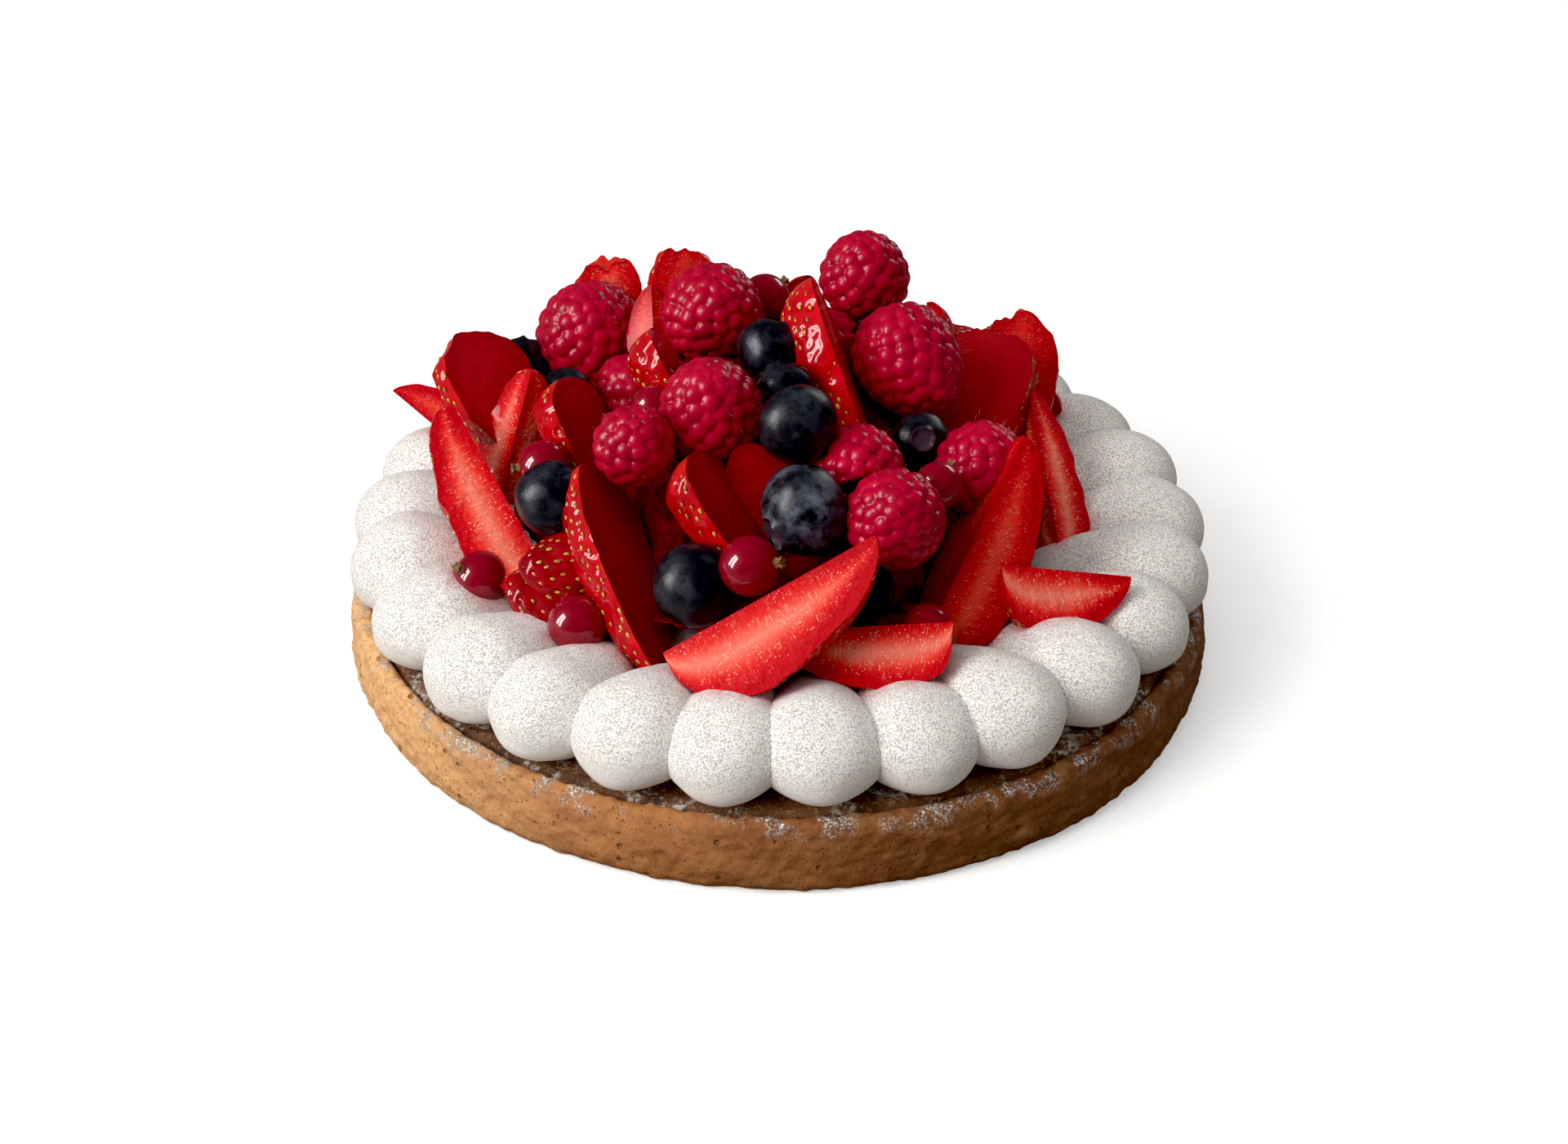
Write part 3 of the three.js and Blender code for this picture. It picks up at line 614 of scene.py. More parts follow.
@dataclass(frozen=True)
class FleshFinish:
    """A wet cut face of strawberry, light in the middle and red towards the skin."""

    ripeness: Flesh
    fibre: Triple = (0.90, 0.48, 0.32)
    glint: Triple = (0.92, 0.55, 0.42)
    sac_mm: float = 0.62

    def stops(self) -> list[tuple[float, Triple]]:
        """Returns the colours from the middle of the fruit to its skin."""
        if self.ripeness is Flesh.PALE:
            return [(0.0, (0.84, 0.20, 0.14)), (0.25, (0.80, 0.10, 0.065)), (0.45, (0.72, 0.025, 0.02)),
                    (0.65, (0.60, 0.006, 0.012)), (1.0, (0.46, 0.003, 0.009))]
        if self.ripeness is Flesh.RIPE:
            return [(0.0, (0.70, 0.055, 0.035)), (0.3, (0.64, 0.022, 0.018)), (0.55, (0.56, 0.008, 0.012)),
                    (0.8, (0.48, 0.004, 0.010)), (1.0, (0.42, 0.003, 0.010))]
        # DARK: deep red, partly ripeness and partly painted shade.
        return [(0.0, (0.42, 0.005, 0.010)), (0.4, (0.39, 0.004, 0.010)), (0.7, (0.36, 0.003, 0.009)),
                (0.85, (0.32, 0.002, 0.008)), (1.0, (0.30, 0.002, 0.008))]

    def material(self) -> bpy.types.Material:
        """Returns the material of the cut face."""
        material, desk, shader = start_material(f"strawberry_flesh_{self.ripeness.value}")
        where = desk.place()
        sheet = desk.add("ShaderNodeUVMap", uv_map="UVMap").outputs[0]
        squeezed = desk.add("ShaderNodeMapping", {"Vector": sheet, "Scale": (0.4, 3.4, 1.0)}).outputs[0]
        inputs = {"Vector": squeezed, "Scale": 1.0, "Detail": 4.0}
        fibres = desk.add("ShaderNodeTexNoise", inputs).outputs["Fac"]
        sway = desk.calc("MULTIPLY", desk.calc("SUBTRACT", fibres, 0.5), 0.7)
        body = desk.ramp(desk.calc("ADD", desk.kept("core"), sway), self.stops())
        pale = desk.calc("MULTIPLY", desk.step(fibres, 0.56, 0.74), desk.step(desk.kept("core"), 0.95, 0.3))
        strength = {Flesh.PALE: 0.8, Flesh.RIPE: 0.28, Flesh.DARK: 0.02}[self.ripeness]
        body = desk.blend(desk.calc("MULTIPLY", pale, strength), body, self.fibre)
        # Painted highlights: pale glint specks on the sacs of the flesh, in patches, standing for wet
        # glints.
        inputs = {"Vector": where, "Scale": 1.0 / (self.sac_mm * MM)}
        sacs = desk.add("ShaderNodeTexVoronoi", inputs).outputs["Distance"]
        lit = desk.step(desk.noise(where, 2.4), 0.42, 0.55)
        glints = desk.calc("MULTIPLY", desk.step(sacs, 0.30, 0.12), lit)
        glints = desk.calc("MULTIPLY", glints, desk.step(desk.kept("core"), 1.0, 0.5))
        body = desk.blend(desk.calc("MULTIPLY", glints, strength), body, self.glint)
        wet = desk.noise(where, 0.9, 3.0, 0.6)
        height = desk.calc("ADD", desk.calc("MULTIPLY", fibres, 0.4), desk.calc("MULTIPLY", wet, 0.7))
        height = desk.calc("ADD", height, desk.calc("MULTIPLY", desk.noise(where, 3.2, 2.0), 1.6))
        dress(desk, shader, {
            "Base Color": body, "Roughness": 0.5, "Specular IOR Level": 0.06,
            "Coat Weight": {Flesh.PALE: 1.0, Flesh.RIPE: 0.3, Flesh.DARK: 0.8}[self.ripeness],
            "Coat Roughness": 0.06, "Coat IOR": 1.42,
            "Subsurface Weight": 0.15, "Subsurface Radius": (1.0, 0.1, 0.08), "Subsurface Scale": 0.0014,
            "Normal": desk.bump(height, 0.5 if self.ripeness is not Flesh.DARK else 0.2),
        })
        return material


@dataclass(frozen=True)
class MoundFinish:
    """Wet red fruit in painted shade, for the dark gaps between the pieces of fruit."""

    red: Triple = (0.20, 0.002, 0.004)
    deep: Triple = (0.07, 0.001, 0.003)

    def material(self) -> bpy.types.Material:
        """Returns the material of the mound."""
        material, desk, shader = start_material("fruit_in_shade")
        where = desk.place()
        body = desk.blend(desk.step(desk.noise(where, 5.0), 0.4, 0.65), self.red, self.deep)
        dress(desk, shader, {
            "Base Color": body, "Roughness": 0.5, "Specular IOR Level": 0.05,
            "Normal": desk.bump(desk.noise(where, 1.5), 0.2),
        })
        return material


@dataclass(frozen=True)
class SkinFinish:
    """Glossy strawberry skin."""

    name: str = "strawberry_skin"
    red: Triple = (0.55, 0.004, 0.010)
    deep: Triple = (0.38, 0.002, 0.008)
    shoulder: Triple = (0.66, 0.03, 0.02)

    def material(self) -> bpy.types.Material:
        """Returns the skin material."""
        material, desk, shader = start_material(self.name)
        where = desk.place()
        body = desk.blend(desk.step(desk.noise(where, 7.0), 0.35, 0.65), self.red, self.deep)
        near_root = desk.calc("MULTIPLY", desk.step(desk.kept("along"), 0.16, 0.0), 0.7)
        body = desk.blend(near_root, body, self.shoulder)
        # Painted shade in the seed dimples.
        body = desk.blend(desk.calc("MULTIPLY", desk.kept("pit"), 0.35), body, self.deep)
        dress(desk, shader, {
            "Base Color": body, "Roughness": 0.5, "Specular IOR Level": 0.05,
            "Coat Weight": 0.85, "Coat Roughness": 0.05, "Coat IOR": 1.42,
            "Subsurface Weight": 0.1, "Subsurface Radius": (1.0, 0.1, 0.08), "Subsurface Scale": 0.001,
            "Normal": desk.bump(desk.noise(where, 0.7, 2.0), 0.06),
        })
        return material


@dataclass(frozen=True)
class SeedFinish:
    """The small yellow-green seeds of a strawberry."""

    gold: Triple = (0.52, 0.34, 0.045)
    brown: Triple = (0.30, 0.11, 0.015)

    def material(self) -> bpy.types.Material:
        """Returns the seed material."""
        material, desk, shader = start_material("strawberry_seed")
        body = desk.blend(desk.step(desk.noise(desk.place(), 2.2), 0.42, 0.66), self.gold, self.brown)
        dress(desk, shader, {
            "Base Color": body, "Roughness": 0.32, "Coat Weight": 0.4, "Coat Roughness": 0.1,
        })
        return material


@dataclass(frozen=True)
class RaspberryFinish:
    """Pink-crimson raspberry with painted shade in its creases."""

    pink: Triple = (0.47, 0.004, 0.032)
    deep: Triple = (0.33, 0.002, 0.022)
    crease: Triple = (0.17, 0.001, 0.010)

    def material(self) -> bpy.types.Material:
        """Returns the raspberry material."""
        material, desk, shader = start_material("raspberry_flesh")
        where = desk.place()
        body = desk.blend(desk.step(desk.noise(where, 5.0), 0.32, 0.68), self.pink, self.deep)
        body = desk.blend(desk.calc("MULTIPLY", desk.kept("own_shade"), 0.4), body, self.deep)
        # Painted shade in the creases between the drupelets.
        body = desk.blend(desk.step(desk.kept("bulge"), 0.6, 0.15), body, self.crease)
        dress(desk, shader, {
            "Base Color": body, "Roughness": 0.5, "Specular IOR Level": 0.08,
            "Coat Weight": 0.55, "Coat Roughness": 0.22, "Coat IOR": 1.4,
            "Subsurface Weight": 0.3, "Subsurface Radius": (1.0, 0.08, 0.12), "Subsurface Scale": 0.0016,
            "Normal": desk.bump(desk.noise(where, 0.35, 2.0), 0.03),
        })
        return material


@dataclass(frozen=True)
class HairFinish:
    """The fine dry hairs between the drupelets."""

    straw: Triple = (0.42, 0.20, 0.08)
    brown: Triple = (0.2, 0.06, 0.03)

    def material(self) -> bpy.types.Material:
        """Returns the hair material."""
        material, desk, shader = start_material("raspberry_hair")
        body = desk.blend(desk.noise(desk.place(), 3.0), self.straw, self.brown)
        dress(desk, shader, {"Base Color": body, "Roughness": 0.6})
        return material


@dataclass(frozen=True)
class BlueberryFinish:
    """Near-black blueberry under a waxy bloom."""

    bloom: float
    skin: Triple = (0.004, 0.004, 0.007)
    wax: Triple = (0.105, 0.12, 0.17)
    crown: Triple = (0.09, 0.045, 0.07)

    def material(self, effects: Effects) -> bpy.types.Material:
        """Makes the material.

        Args:
            effects: The shared effects.

        Returns:
            The blueberry material.
        """
        material, desk, shader = start_material(f"blueberry_bloom_{round(self.bloom * 100)}")
        where = desk.place()
        cloud = effects.patch(desk, where, 3.2, 0.38, 0.66)
        veil = effects.patch(desk, where, 9.0, 0.3, 0.7)
        share = desk.calc("MULTIPLY", desk.calc("MULTIPLY", cloud, veil), self.bloom)
        share = desk.calc("ADD", share, 0.012)
        body = desk.blend(share, self.skin, self.wax)
        body = desk.blend(desk.calc("MULTIPLY", desk.kept("crown"), 0.6), body, self.crown)
        dress(desk, shader, {
            "Base Color": body, "Roughness": desk.calc("ADD", desk.calc("MULTIPLY", share, 0.5), 0.33),
            "Specular IOR Level": 0.33,
            "Normal": desk.bump(desk.noise(where, 0.8, 4.0, 0.6), 0.05),
        })
        return material


@dataclass(frozen=True)
class RedcurrantFinish:
    """Glossy redcurrant with faint veins under a clear skin."""

    red: Triple = (0.20, 0.001, 0.010)
    lit: Triple = (0.34, 0.003, 0.026)

    def material(self) -> bpy.types.Material:
        """Returns the redcurrant material."""
        material, desk, shader = start_material("redcurrant_skin")
        veins = desk.step(desk.kept("vein"), 0.75, 1.0)
        body = desk.blend(desk.calc("MULTIPLY", veins, 0.5), self.red, self.lit)
        body = desk.blend(desk.calc("MULTIPLY", desk.noise(desk.place(), 4.0), 0.4), body, self.lit)
        dress(desk, shader, {
            "Base Color": body, "Roughness": 0.4, "Specular IOR Level": 0.1,
            "Coat Weight": 1.0, "Coat Roughness": 0.05, "Coat IOR": 1.5,
            "Subsurface Weight": 0.4, "Subsurface Radius": (1.0, 0.06, 0.1), "Subsurface Scale": 0.0025,
        })
        return material


@dataclass(frozen=True)
class DryFlowerFinish:
    """The dried brown flower end of a redcurrant."""

    brown: Triple = (0.10, 0.05, 0.022)
    straw: Triple = (0.32, 0.15, 0.05)

    def material(self) -> bpy.types.Material:
        """Returns the dry flower material."""
        material, desk, shader = start_material("redcurrant_flower")
        body = desk.blend(desk.noise(desk.place(), 0.8), self.brown, self.straw)
        dress(desk, shader, {"Base Color": body, "Roughness": 0.75})
        return material


@dataclass
class Palette:
    """Every material of the tart, each made once."""

    effects: Effects = field(default_factory=Effects)

    def __post_init__(self) -> None:
        """Makes the materials."""
        self.crust = CrustFinish().material(self.effects)
        self.filling = FillingFinish().material(self.effects)
        self.cream = CreamFinish().material(self.effects)
        self.flesh = {kind: FleshFinish(kind).material() for kind in Flesh}
        self.mound = MoundFinish().material()
        self.skin = SkinFinish().material()
        # A copy of the skin darkened with painted shade, for pieces that lie in shade.
        self.painted_shade_skin = SkinFinish("strawberry_dark_skin", (0.34, 0.002, 0.008), (0.22, 0.001, 0.005),
                                    (0.4, 0.006, 0.01)).material()
        self.seed = SeedFinish().material()
        self.raspberry = RaspberryFinish().material()
        self.hair = HairFinish().material()
        self.blueberry = {bloom: BlueberryFinish(bloom).material(self.effects) for bloom in (0.25, 0.9)}
        self.redcurrant = RedcurrantFinish().material()
        self.flower = DryFlowerFinish().material()


def set_in_tart(piece: bpy.types.Object, slot: str, *nodes: str) -> None:
    """Makes a piece ride with the tart and stand for its solids.

    Args:
        piece: The finished piece.
        slot: Not used.
        nodes: The CAD nodes it replaces.
    """
    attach(piece, "root")
    if nodes:
        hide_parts(*nodes)
    LOG.info("%s: %d points", piece.name, len(piece.data.vertices))


def turned_form(piece_name: str, profile: list[tuple[float, float]], columns: int, step: float,
                fine: Callable[[np.ndarray], np.ndarray]) -> tuple[bpy.types.Object, np.ndarray, np.ndarray]:
    """Adds a sheet and wraps it round a turned profile.

    Args:
        piece_name: The new piece's name.
        profile: Its [radius, height] corners from the foot on the axis to the top on the axis.
        columns: Faces round it.
        step: The length of a face along the profile, where the faces are finest.
        fine: Gives, for a radius, how many times longer the faces may be there.

    Returns:
        The piece, its points and the angle of each point.
    """
    corners = np.array(profile, dtype=float)
    places = [corners[0]]
    for first, last in zip(corners[:-1], corners[1:]):
        length = float(np.linalg.norm(last - first))
        middle = (first + last) / 2.0
        count = max(1, round(length / (step * float(fine(middle)))))
        places.extend(first + (last - first) * share for share in np.arange(1, count + 1) / count)
    line = np.array(places)
    piece, across, up = wrap_sheet(piece_name, columns, len(line) - 1)
    index = np.rint(up * (len(line) - 1)).astype(int)
    angle = across * 2.0 * math.pi
    radius = line[index, 0]
    points = np.column_stack([radius * np.sin(angle), -radius * np.cos(angle), line[index, 1]])
    return piece, points, angle


@dataclass
class PastryCase:
    """The baked case with its uneven side and rounded, broken lip."""

    rim_radius: float = 80.0
    height: float = 14.0
    wall: float = 3.6
    floor: float = 3.2
    columns: int = 760

    def profile(self) -> list[tuple[float, float]]:
        """Returns the corners of the case's section."""
        inner = self.rim_radius - self.wall
        side = [(78.2, 0.0), (79.6, 0.5), (80.3, 1.8), (80.55, 4.0), (80.5, 7.0), (80.2, 10.0), (79.9, 11.8)]
        lip = [(79.4, 13.2), (78.6, 13.8), (77.8, self.height), (77.0, 13.8), (inner + 0.2, 13.2),
               (inner, 12.2)]
        return [(0.0, 0.0), *side, *lip, (inner, self.floor), (0.0, self.floor)]

    def build(self, palette: Palette) -> bpy.types.Object:
        """Builds and dresses the case.

        Args:
            palette: The materials.

        Returns:
            The finished case.
        """
        piece, points, angle = turned_form("baked_case", self.profile(), self.columns, 0.42,
                                           lambda middle: 1.0 if middle[0] > 76.0 else 14.0)
        radius = np.hypot(points[:, 0], points[:, 1])
        outside = np.clip((radius - 77.2) / 1.5, 0.0, 1.0)
        slow = 0.45 * self.waver(angle, points[:, 2], 0.6)
        bumps = 0.16 * lumps(points, 5.0, 11) + 0.10 * lumps(points, 1.9, 12)
        push = outside * (slow + bumps)
        points[:, 0] *= 1.0 + push / np.maximum(radius, 1.0)
        points[:, 1] *= 1.0 + push / np.maximum(radius, 1.0)
        top = np.clip((points[:, 2] - 12.6) / 1.0, 0.0, 1.0) * (radius > 76.0)
        points[:, 2] += top * (0.15 * (self.waver(angle, radius, 2.1) - 1.0) + 0.22 * lumps(points, 3.0, 13))
        points[:, 2] = np.minimum(points[:, 2], self.height + 0.35)
        store(piece, "sugar", np.clip((points[:, 2] - 10.5) / 3.0, 0.0, 1.0))
        set_points(piece, points)
        close_up(piece, 60.0)
        piece.data.materials.append(palette.crust)
        set_in_tart(piece, "crust", "pastry_case")
        return piece

    @staticmethod
    def waver(angle: np.ndarray, height: np.ndarray, phase: float) -> np.ndarray:
        """Returns the slow unevenness of the baked side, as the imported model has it."""
        slow = np.sin(3.0 * angle + phase) * 0.45
        middle = np.sin(8.0 * angle + 1.7 * phase + height * 0.35) * 0.3
        return slow + middle + np.sin(19.0 * angle - phase + height * 0.9) * 0.25


@dataclass
class AlmondFilling:
    """The browned filling that runs through the case."""

    radius: float = 76.1
    foot: float = 3.5
    top: float = 13.9

    def build(self, palette: Palette) -> bpy.types.Object:
        """Builds and dresses the filling.

        Args:
            palette: The materials.

        Returns:
            The finished filling.
        """
        profile = [(0.0, self.foot), (self.radius, self.foot), (self.radius, 12.7), (75.4, 13.5),
                   (74.4, self.top), (60.0, self.top), (0.0, self.top)]
        piece, points, _ = turned_form("browned_filling", profile, 420, 0.7,
                                       lambda middle: 1.0 if middle[0] > 66.0 and middle[1] > 12.0 else 12.0)
        radius = np.hypot(points[:, 0], points[:, 1])
        skin = (points[:, 2] > 12.0) * np.clip((radius - 58.0) / 6.0, 0.0, 1.0)
        rough = 0.22 * lumps(points, 4.0, 21) + 0.14 * lumps(points, 1.6, 22)
        points[:, 2] += skin * np.minimum(rough - 0.1, 0.15)
        set_points(piece, points)
        close_up(piece, 60.0)
        piece.data.materials.append(palette.filling)
        set_in_tart(piece, "filling", "almond_filling")
        return piece


@dataclass(frozen=True)
class Drop:
    """One piped drop of cream."""

    azimuth: float
    size: float
    bend: float


@dataclass
class PipedCream:
    """The ring of piped drops and the bed of cream inside it."""

    foot: float = 14.3
    outer: float = 80.0
    length: float = 38.0
    half_width: float = 11.0
    height: float = 16.5
    middle: float = 0.46
    widest: float = 0.31
    most_bend: float = 12.0
    tail_end: float = 1.04
    tail_fade: float = 0.10
    tail_drop: float = 0.6
    bed_radius: float = 48.0
    bed_top: float = 21.2
    starts: tuple[tuple[float, float], ...] = (
        (-78, 1.04), (-63, 0.98), (-47, 1.02), (-34, 0.97), (-20, 1.0), (-7, 1.0), (6, 1.02), (20, 0.98),
        (33.5, 1.03), (49, 1.0), (65, 0.98), (79, 1.02), (93, 1.0), (108, 1.03), (122, 0.97), (136, 1.0),
        (150, 1.02), (164, 0.98), (178, 1.0), (-167, 1.03), (-152, 0.98), (-137, 1.0), (-122, 1.02),
        (-107, 0.98), (-92, 1.0))

    def drops(self) -> list[Drop]:
        """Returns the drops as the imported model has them."""
        run = Draws(5)
        return [Drop(azimuth, size, (run.draw() - 0.3) * self.most_bend) for azimuth, size in self.starts]

    def girth(self, along: np.ndarray) -> np.ndarray:
        """Returns how wide a drop is along it, as a share of its half width."""
        front = np.sqrt(np.clip(1.0 - ((self.widest - along) / self.widest) ** 2, 0.0, 1.0))
        share = np.clip((along - self.widest) / (1.0 - self.widest), 0.0, 1.0)
        back = 1.0 - 0.8 * share ** 1.25
        return np.where(along < self.widest, front, back)

    def build_drop(self, drop: Drop, seed: int) -> bpy.types.Object:
        """Builds one drop.

        Args:
            drop: Its place, size and bend.
            seed: Picks its unevenness.

        Returns:
            The drop.
        """
        piece, turn_share, share = wrap_sheet(f"drop_{seed}", 60, 54)
        turn = turn_share * 2.0 * math.pi
        along = np.clip(self.tail_end * (1.0 - np.cos(math.pi * share ** 0.9)) / 2.0, 0.0, self.tail_end)
        girth = self.girth(along) * np.sqrt(np.clip((self.tail_end - along) / self.tail_fade, 0.0, 1.0))
        back = np.clip((along - self.widest) / (1.0 - self.widest), 0.0, 1.05)
        high = (1.0 - self.tail_drop * back ** 1.35) * self.height * drop.size
        middle = self.middle * high
        round_share = np.where(along < self.widest, girth, np.minimum(1.0, girth * 6.0))
        up = np.sin(turn)
        reach = np.where(up > 0.0, (high - middle) * round_share, middle * 1.06 * round_share ** 0.62)
        lift = middle + up * reach
        sideways = drop.bend * np.maximum(along - self.widest, 0.0) ** 2
        lateral = sideways + np.cos(turn) * girth * 1.05 * self.half_width * drop.size
        radial = self.outer - along * self.length
        points = np.column_stack([lateral, radial, np.maximum(lift, 0.0) + self.foot])
        rng = np.random.default_rng(seed)
        shift = rng.uniform(-400.0, 400.0, 3)
        swell = 0.20 * lumps(points + shift, 16.0, 31) + 0.05 * lumps(points + shift, 5.0, 32)
        away = np.column_stack([np.cos(turn), np.zeros(len(turn)), up])
        points += away * (swell * np.clip(girth * 2.0, 0.0, 1.0))[:, None]
        points[:, 2] = np.maximum(points[:, 2], self.foot)
        angle = math.radians(drop.azimuth)
        out = np.array([math.sin(angle), -math.cos(angle)])
        beside = np.array([math.cos(angle), math.sin(angle)])
        flat = points[:, 1:2] * out + points[:, 0:1] * beside
        set_points(piece, np.column_stack([flat, points[:, 2]]))
        close_up(piece, 70.0)
        return piece

    def build_bed(self) -> bpy.types.Object:
        """Builds the bed of cream that the tails of the drops run into."""
        profile = [(0.0, self.foot), (self.bed_radius + 2.0, self.foot), (self.bed_radius + 2.0, 18.5),
                   (self.bed_radius - 2.0, self.bed_top - 0.4), (self.bed_radius - 8.0, self.bed_top),
                   (0.0, self.bed_top)]
        piece, points, _ = turned_form("cream_bed", profile, 160, 1.2,
                                       lambda middle: 1.0 if middle[0] > 25.0 else 8.0)
        upper = points[:, 2] > self.foot + 1.0
        points[:, 2] += upper * (0.5 * lumps(points, 9.0, 33) - 0.3)
        set_points(piece, points)
        close_up(piece, 70.0)
        return piece

    def build(self, palette: Palette, fruit: list["Fruit"]) -> bpy.types.Object:
        """Builds and dresses the cream.

        Args:
            palette: The materials.
            fruit: The fruit near which it turns pink, partly stained and partly with painted red bounce
                light.

        Returns:
            The finished cream.
        """
        parts = [self.build_drop(drop, index) for index, drop in enumerate(self.drops())]
        piece = join([*parts, self.build_bed()], "whipped_cream")
        points = points_of(piece) / MM
        nearest = np.full(len(points), 99.0)
        for item in fruit:
            nearest = np.minimum(nearest, item.distance(points))
        # Nearness to the fruit, for the pink that is partly stained and partly painted bounce light.
        juice_and_bounce = np.clip(1.0 - nearest / 5.0, 0.0, 1.0) ** 1.6
        store(piece, "juice_and_bounce", juice_and_bounce)
        store(piece, "grit", np.clip((points[:, 2] - 17.0) / 9.0, 0.0, 1.0))
        piece.data.materials.append(palette.cream)
        set_in_tart(piece, "cream", "piped_cream")
        return piece


@dataclass
class Fruit:
    """What every fruit of the heap has."""

    name: str

    def distance(self, points: np.ndarray) -> np.ndarray:
        """Returns how far each point is from the fruit, in millimetres."""
        raise NotImplementedError

    def shape(self, palette: Palette) -> bpy.types.Object:
        """Builds the fruit, dressed and in its place."""
        raise NotImplementedError

    def build(self, palette: Palette) -> None:
        """Builds the fruit and puts it in place of its solid."""
        set_in_tart(self.shape(palette), self.name.split("_")[0], self.name)


@dataclass
class RoundFruit(Fruit):
    """A fruit whose form is near a ball."""

    at: Triple
    radius: float

    def distance(self, points: np.ndarray) -> np.ndarray:
        """Returns how far each point is from the fruit, in millimetres."""
        return np.maximum(np.linalg.norm(points - np.array(self.at), axis=1) - self.radius, 0.0)

    @staticmethod
    def ball(name: str, columns: int,
             rows: int) -> tuple[bpy.types.Object, np.ndarray, np.ndarray, np.ndarray]:
        """Adds a grid to be wrapped round a ball of radius 1.

        Args:
            name: The new piece's name.
            columns: Faces round the ball.
            rows: Faces from its foot to its top.

        Returns:
            The piece, each point's angle, its distance from the axis and its height.
        """
        piece, across, up = wrap_sheet(name, columns, rows)
        polar = math.pi * (1.0 - up)
        return piece, across * 2.0 * math.pi, np.sin(polar), np.cos(polar)


@dataclass
class Raspberry(RoundFruit):
    """A raspberry of many small drupelets, with the opening where it was picked.

    `long` is half its length. `drupelet` is the spacing of the drupelets, and each bead is a share of it.
    """

    long: float
    tip: Triple
    hollow: bool = False
    divisions: int = 6
    taper: float = 0.14
    drupelet: float = 3.6
    evening_rounds: int = 3
    bead_share: float = 0.66
    bead_depth: float = 0.72
    crease_width: float = 0.45
    crease_ridge: float = 0.08
    uneven: float = 0.12
    opening_deg: float = 44.0
    opening_share: float = 0.66
    bare_share: float = 0.35

    def centres(self) -> np.ndarray:
        """Returns the way to each drupelet from the middle, as unit rows."""
        count = round(4.0 * math.pi * self.radius * self.long / (self.drupelet ** 2 * 0.87))
        index = np.arange(count) + 0.5
        height = 1.0 - 2.0 * index / count
        turn = index * GOLDEN_TURN
        level = np.sqrt(1.0 - height ** 2)
        rng = np.random.default_rng(round(abs(self.at[0]) * 10.0 + self.radius * 100.0))
        ways = np.column_stack([level * np.cos(turn), level * np.sin(turn), height])
        ways += rng.normal(scale=0.05, size=ways.shape)
        return ways / np.linalg.norm(ways, axis=1)[:, None]

    def owners(self, surface: np.ndarray, middles: np.ndarray) -> tuple[np.ndarray, np.ndarray, np.ndarray]:
        """Finds the drupelet that each point belongs to.

        Args:
            surface: The points of the smooth form.
            middles: The middle of each drupelet on it.

        Returns:
            The drupelet of each point, and the distances to it and to the next nearest.
        """
        near = np.full(len(surface), 1e9)
        next_near = np.full(len(surface), 1e9)
        owner = np.zeros(len(surface), dtype=int)
        for index, middle in enumerate(middles):
            gap = np.linalg.norm(surface - middle, axis=1)
            closer = gap < near
            next_near = np.where(closer, near, np.minimum(next_near, gap))
            near = np.where(closer, gap, near)
            owner[closer] = index
        return owner, near, next_near

    def body(self, ways: np.ndarray) -> np.ndarray:
        """Returns the smooth outer form of the berry in each direction."""
        wide = self.radius * (1.0 - self.taper * ways[:, 2])
        return np.column_stack([ways[:, 0] * wide, ways[:, 1] * wide, ways[:, 2] * self.long])

    def shape(self, palette: Palette) -> bpy.types.Object:
        """Builds the berry.

        Args:
            palette: The materials.

        Returns:
            The berry, dressed and in its place.
        """
        deselect_all()
        bpy.ops.mesh.primitive_ico_sphere_add(subdivisions=self.divisions, radius=1.0)
        piece = bpy.context.object
        piece.name = f"{self.name}_berry"
        ways = points_of(piece)
        ways /= np.linalg.norm(ways, axis=1)[:, None]
        centres = self.centres()
        surface = self.body(ways)
        for _ in range(self.evening_rounds):
            owner, _, _ = self.owners(surface, self.body(centres))
            centres = np.column_stack([np.bincount(owner, ways[:, axis], len(centres)) for axis in range(3)])
            centres /= np.linalg.norm(centres, axis=1)[:, None]
        middles = self.body(centres)
        owner, near, next_near = self.owners(surface, middles)
        rng = np.random.default_rng(len(centres))
        bead = self.drupelet * self.bead_share
        bulge = np.sqrt(np.clip(1.0 - (near / bead) ** 2, 0.02, 1.0))
        crease = np.exp(-((next_near - near) / self.crease_width) ** 2)
        normal = ways / np.array([self.radius, self.radius, self.long])
        normal /= np.linalg.norm(normal, axis=1)[:, None]
        height = (bulge - 1.0) * bead * self.bead_depth + crease * self.crease_ridge
        height += rng.uniform(-self.uneven, self.uneven, len(centres))[owner]
        points = surface + normal * height[:, None]
        if self.hollow:
            points = self.open_end(ways, points)
        store(piece, "bulge", bulge)
        store(piece, "own_shade", rng.uniform(0.0, 1.0, len(centres))[owner])
        place = round_frame(self.at, self.tip)
        set_points(piece, moved(points, place))
        close_up(piece, 80.0)
        piece.data.materials.append(palette.raspberry)
        hairs = self.hairs(middles, centres, place, palette)
        return join([piece, hairs], f"{self.name}_berry")

    def open_end(self, ways: np.ndarray, points: np.ndarray) -> np.ndarray:
        """Folds the stem end inwards into the opening.

        Args:
            ways: The direction of each point.
            points: The points of the closed berry.

        Returns:
            The points of the open one.
        """
        from_stem = np.arccos(np.clip(-ways[:, 2], -1.0, 1.0))
        lip = math.radians(self.opening_deg)
        inside = from_stem < lip
        share = np.clip(from_stem / lip, 0.0, 1.0)
        turn = np.arctan2(ways[:, 1], ways[:, 0])
        reach = self.radius * self.opening_share * share ** 0.6
        depth = self.long * 1.15 * (1.0 - share ** 3)
        cup = np.column_stack([reach * np.cos(turn), reach * np.sin(turn), depth - self.long * 0.72])
        cup += 0.12 * lumps(cup, 1.6, 41)[:, None]
        return np.where(inside[:, None], cup, points)

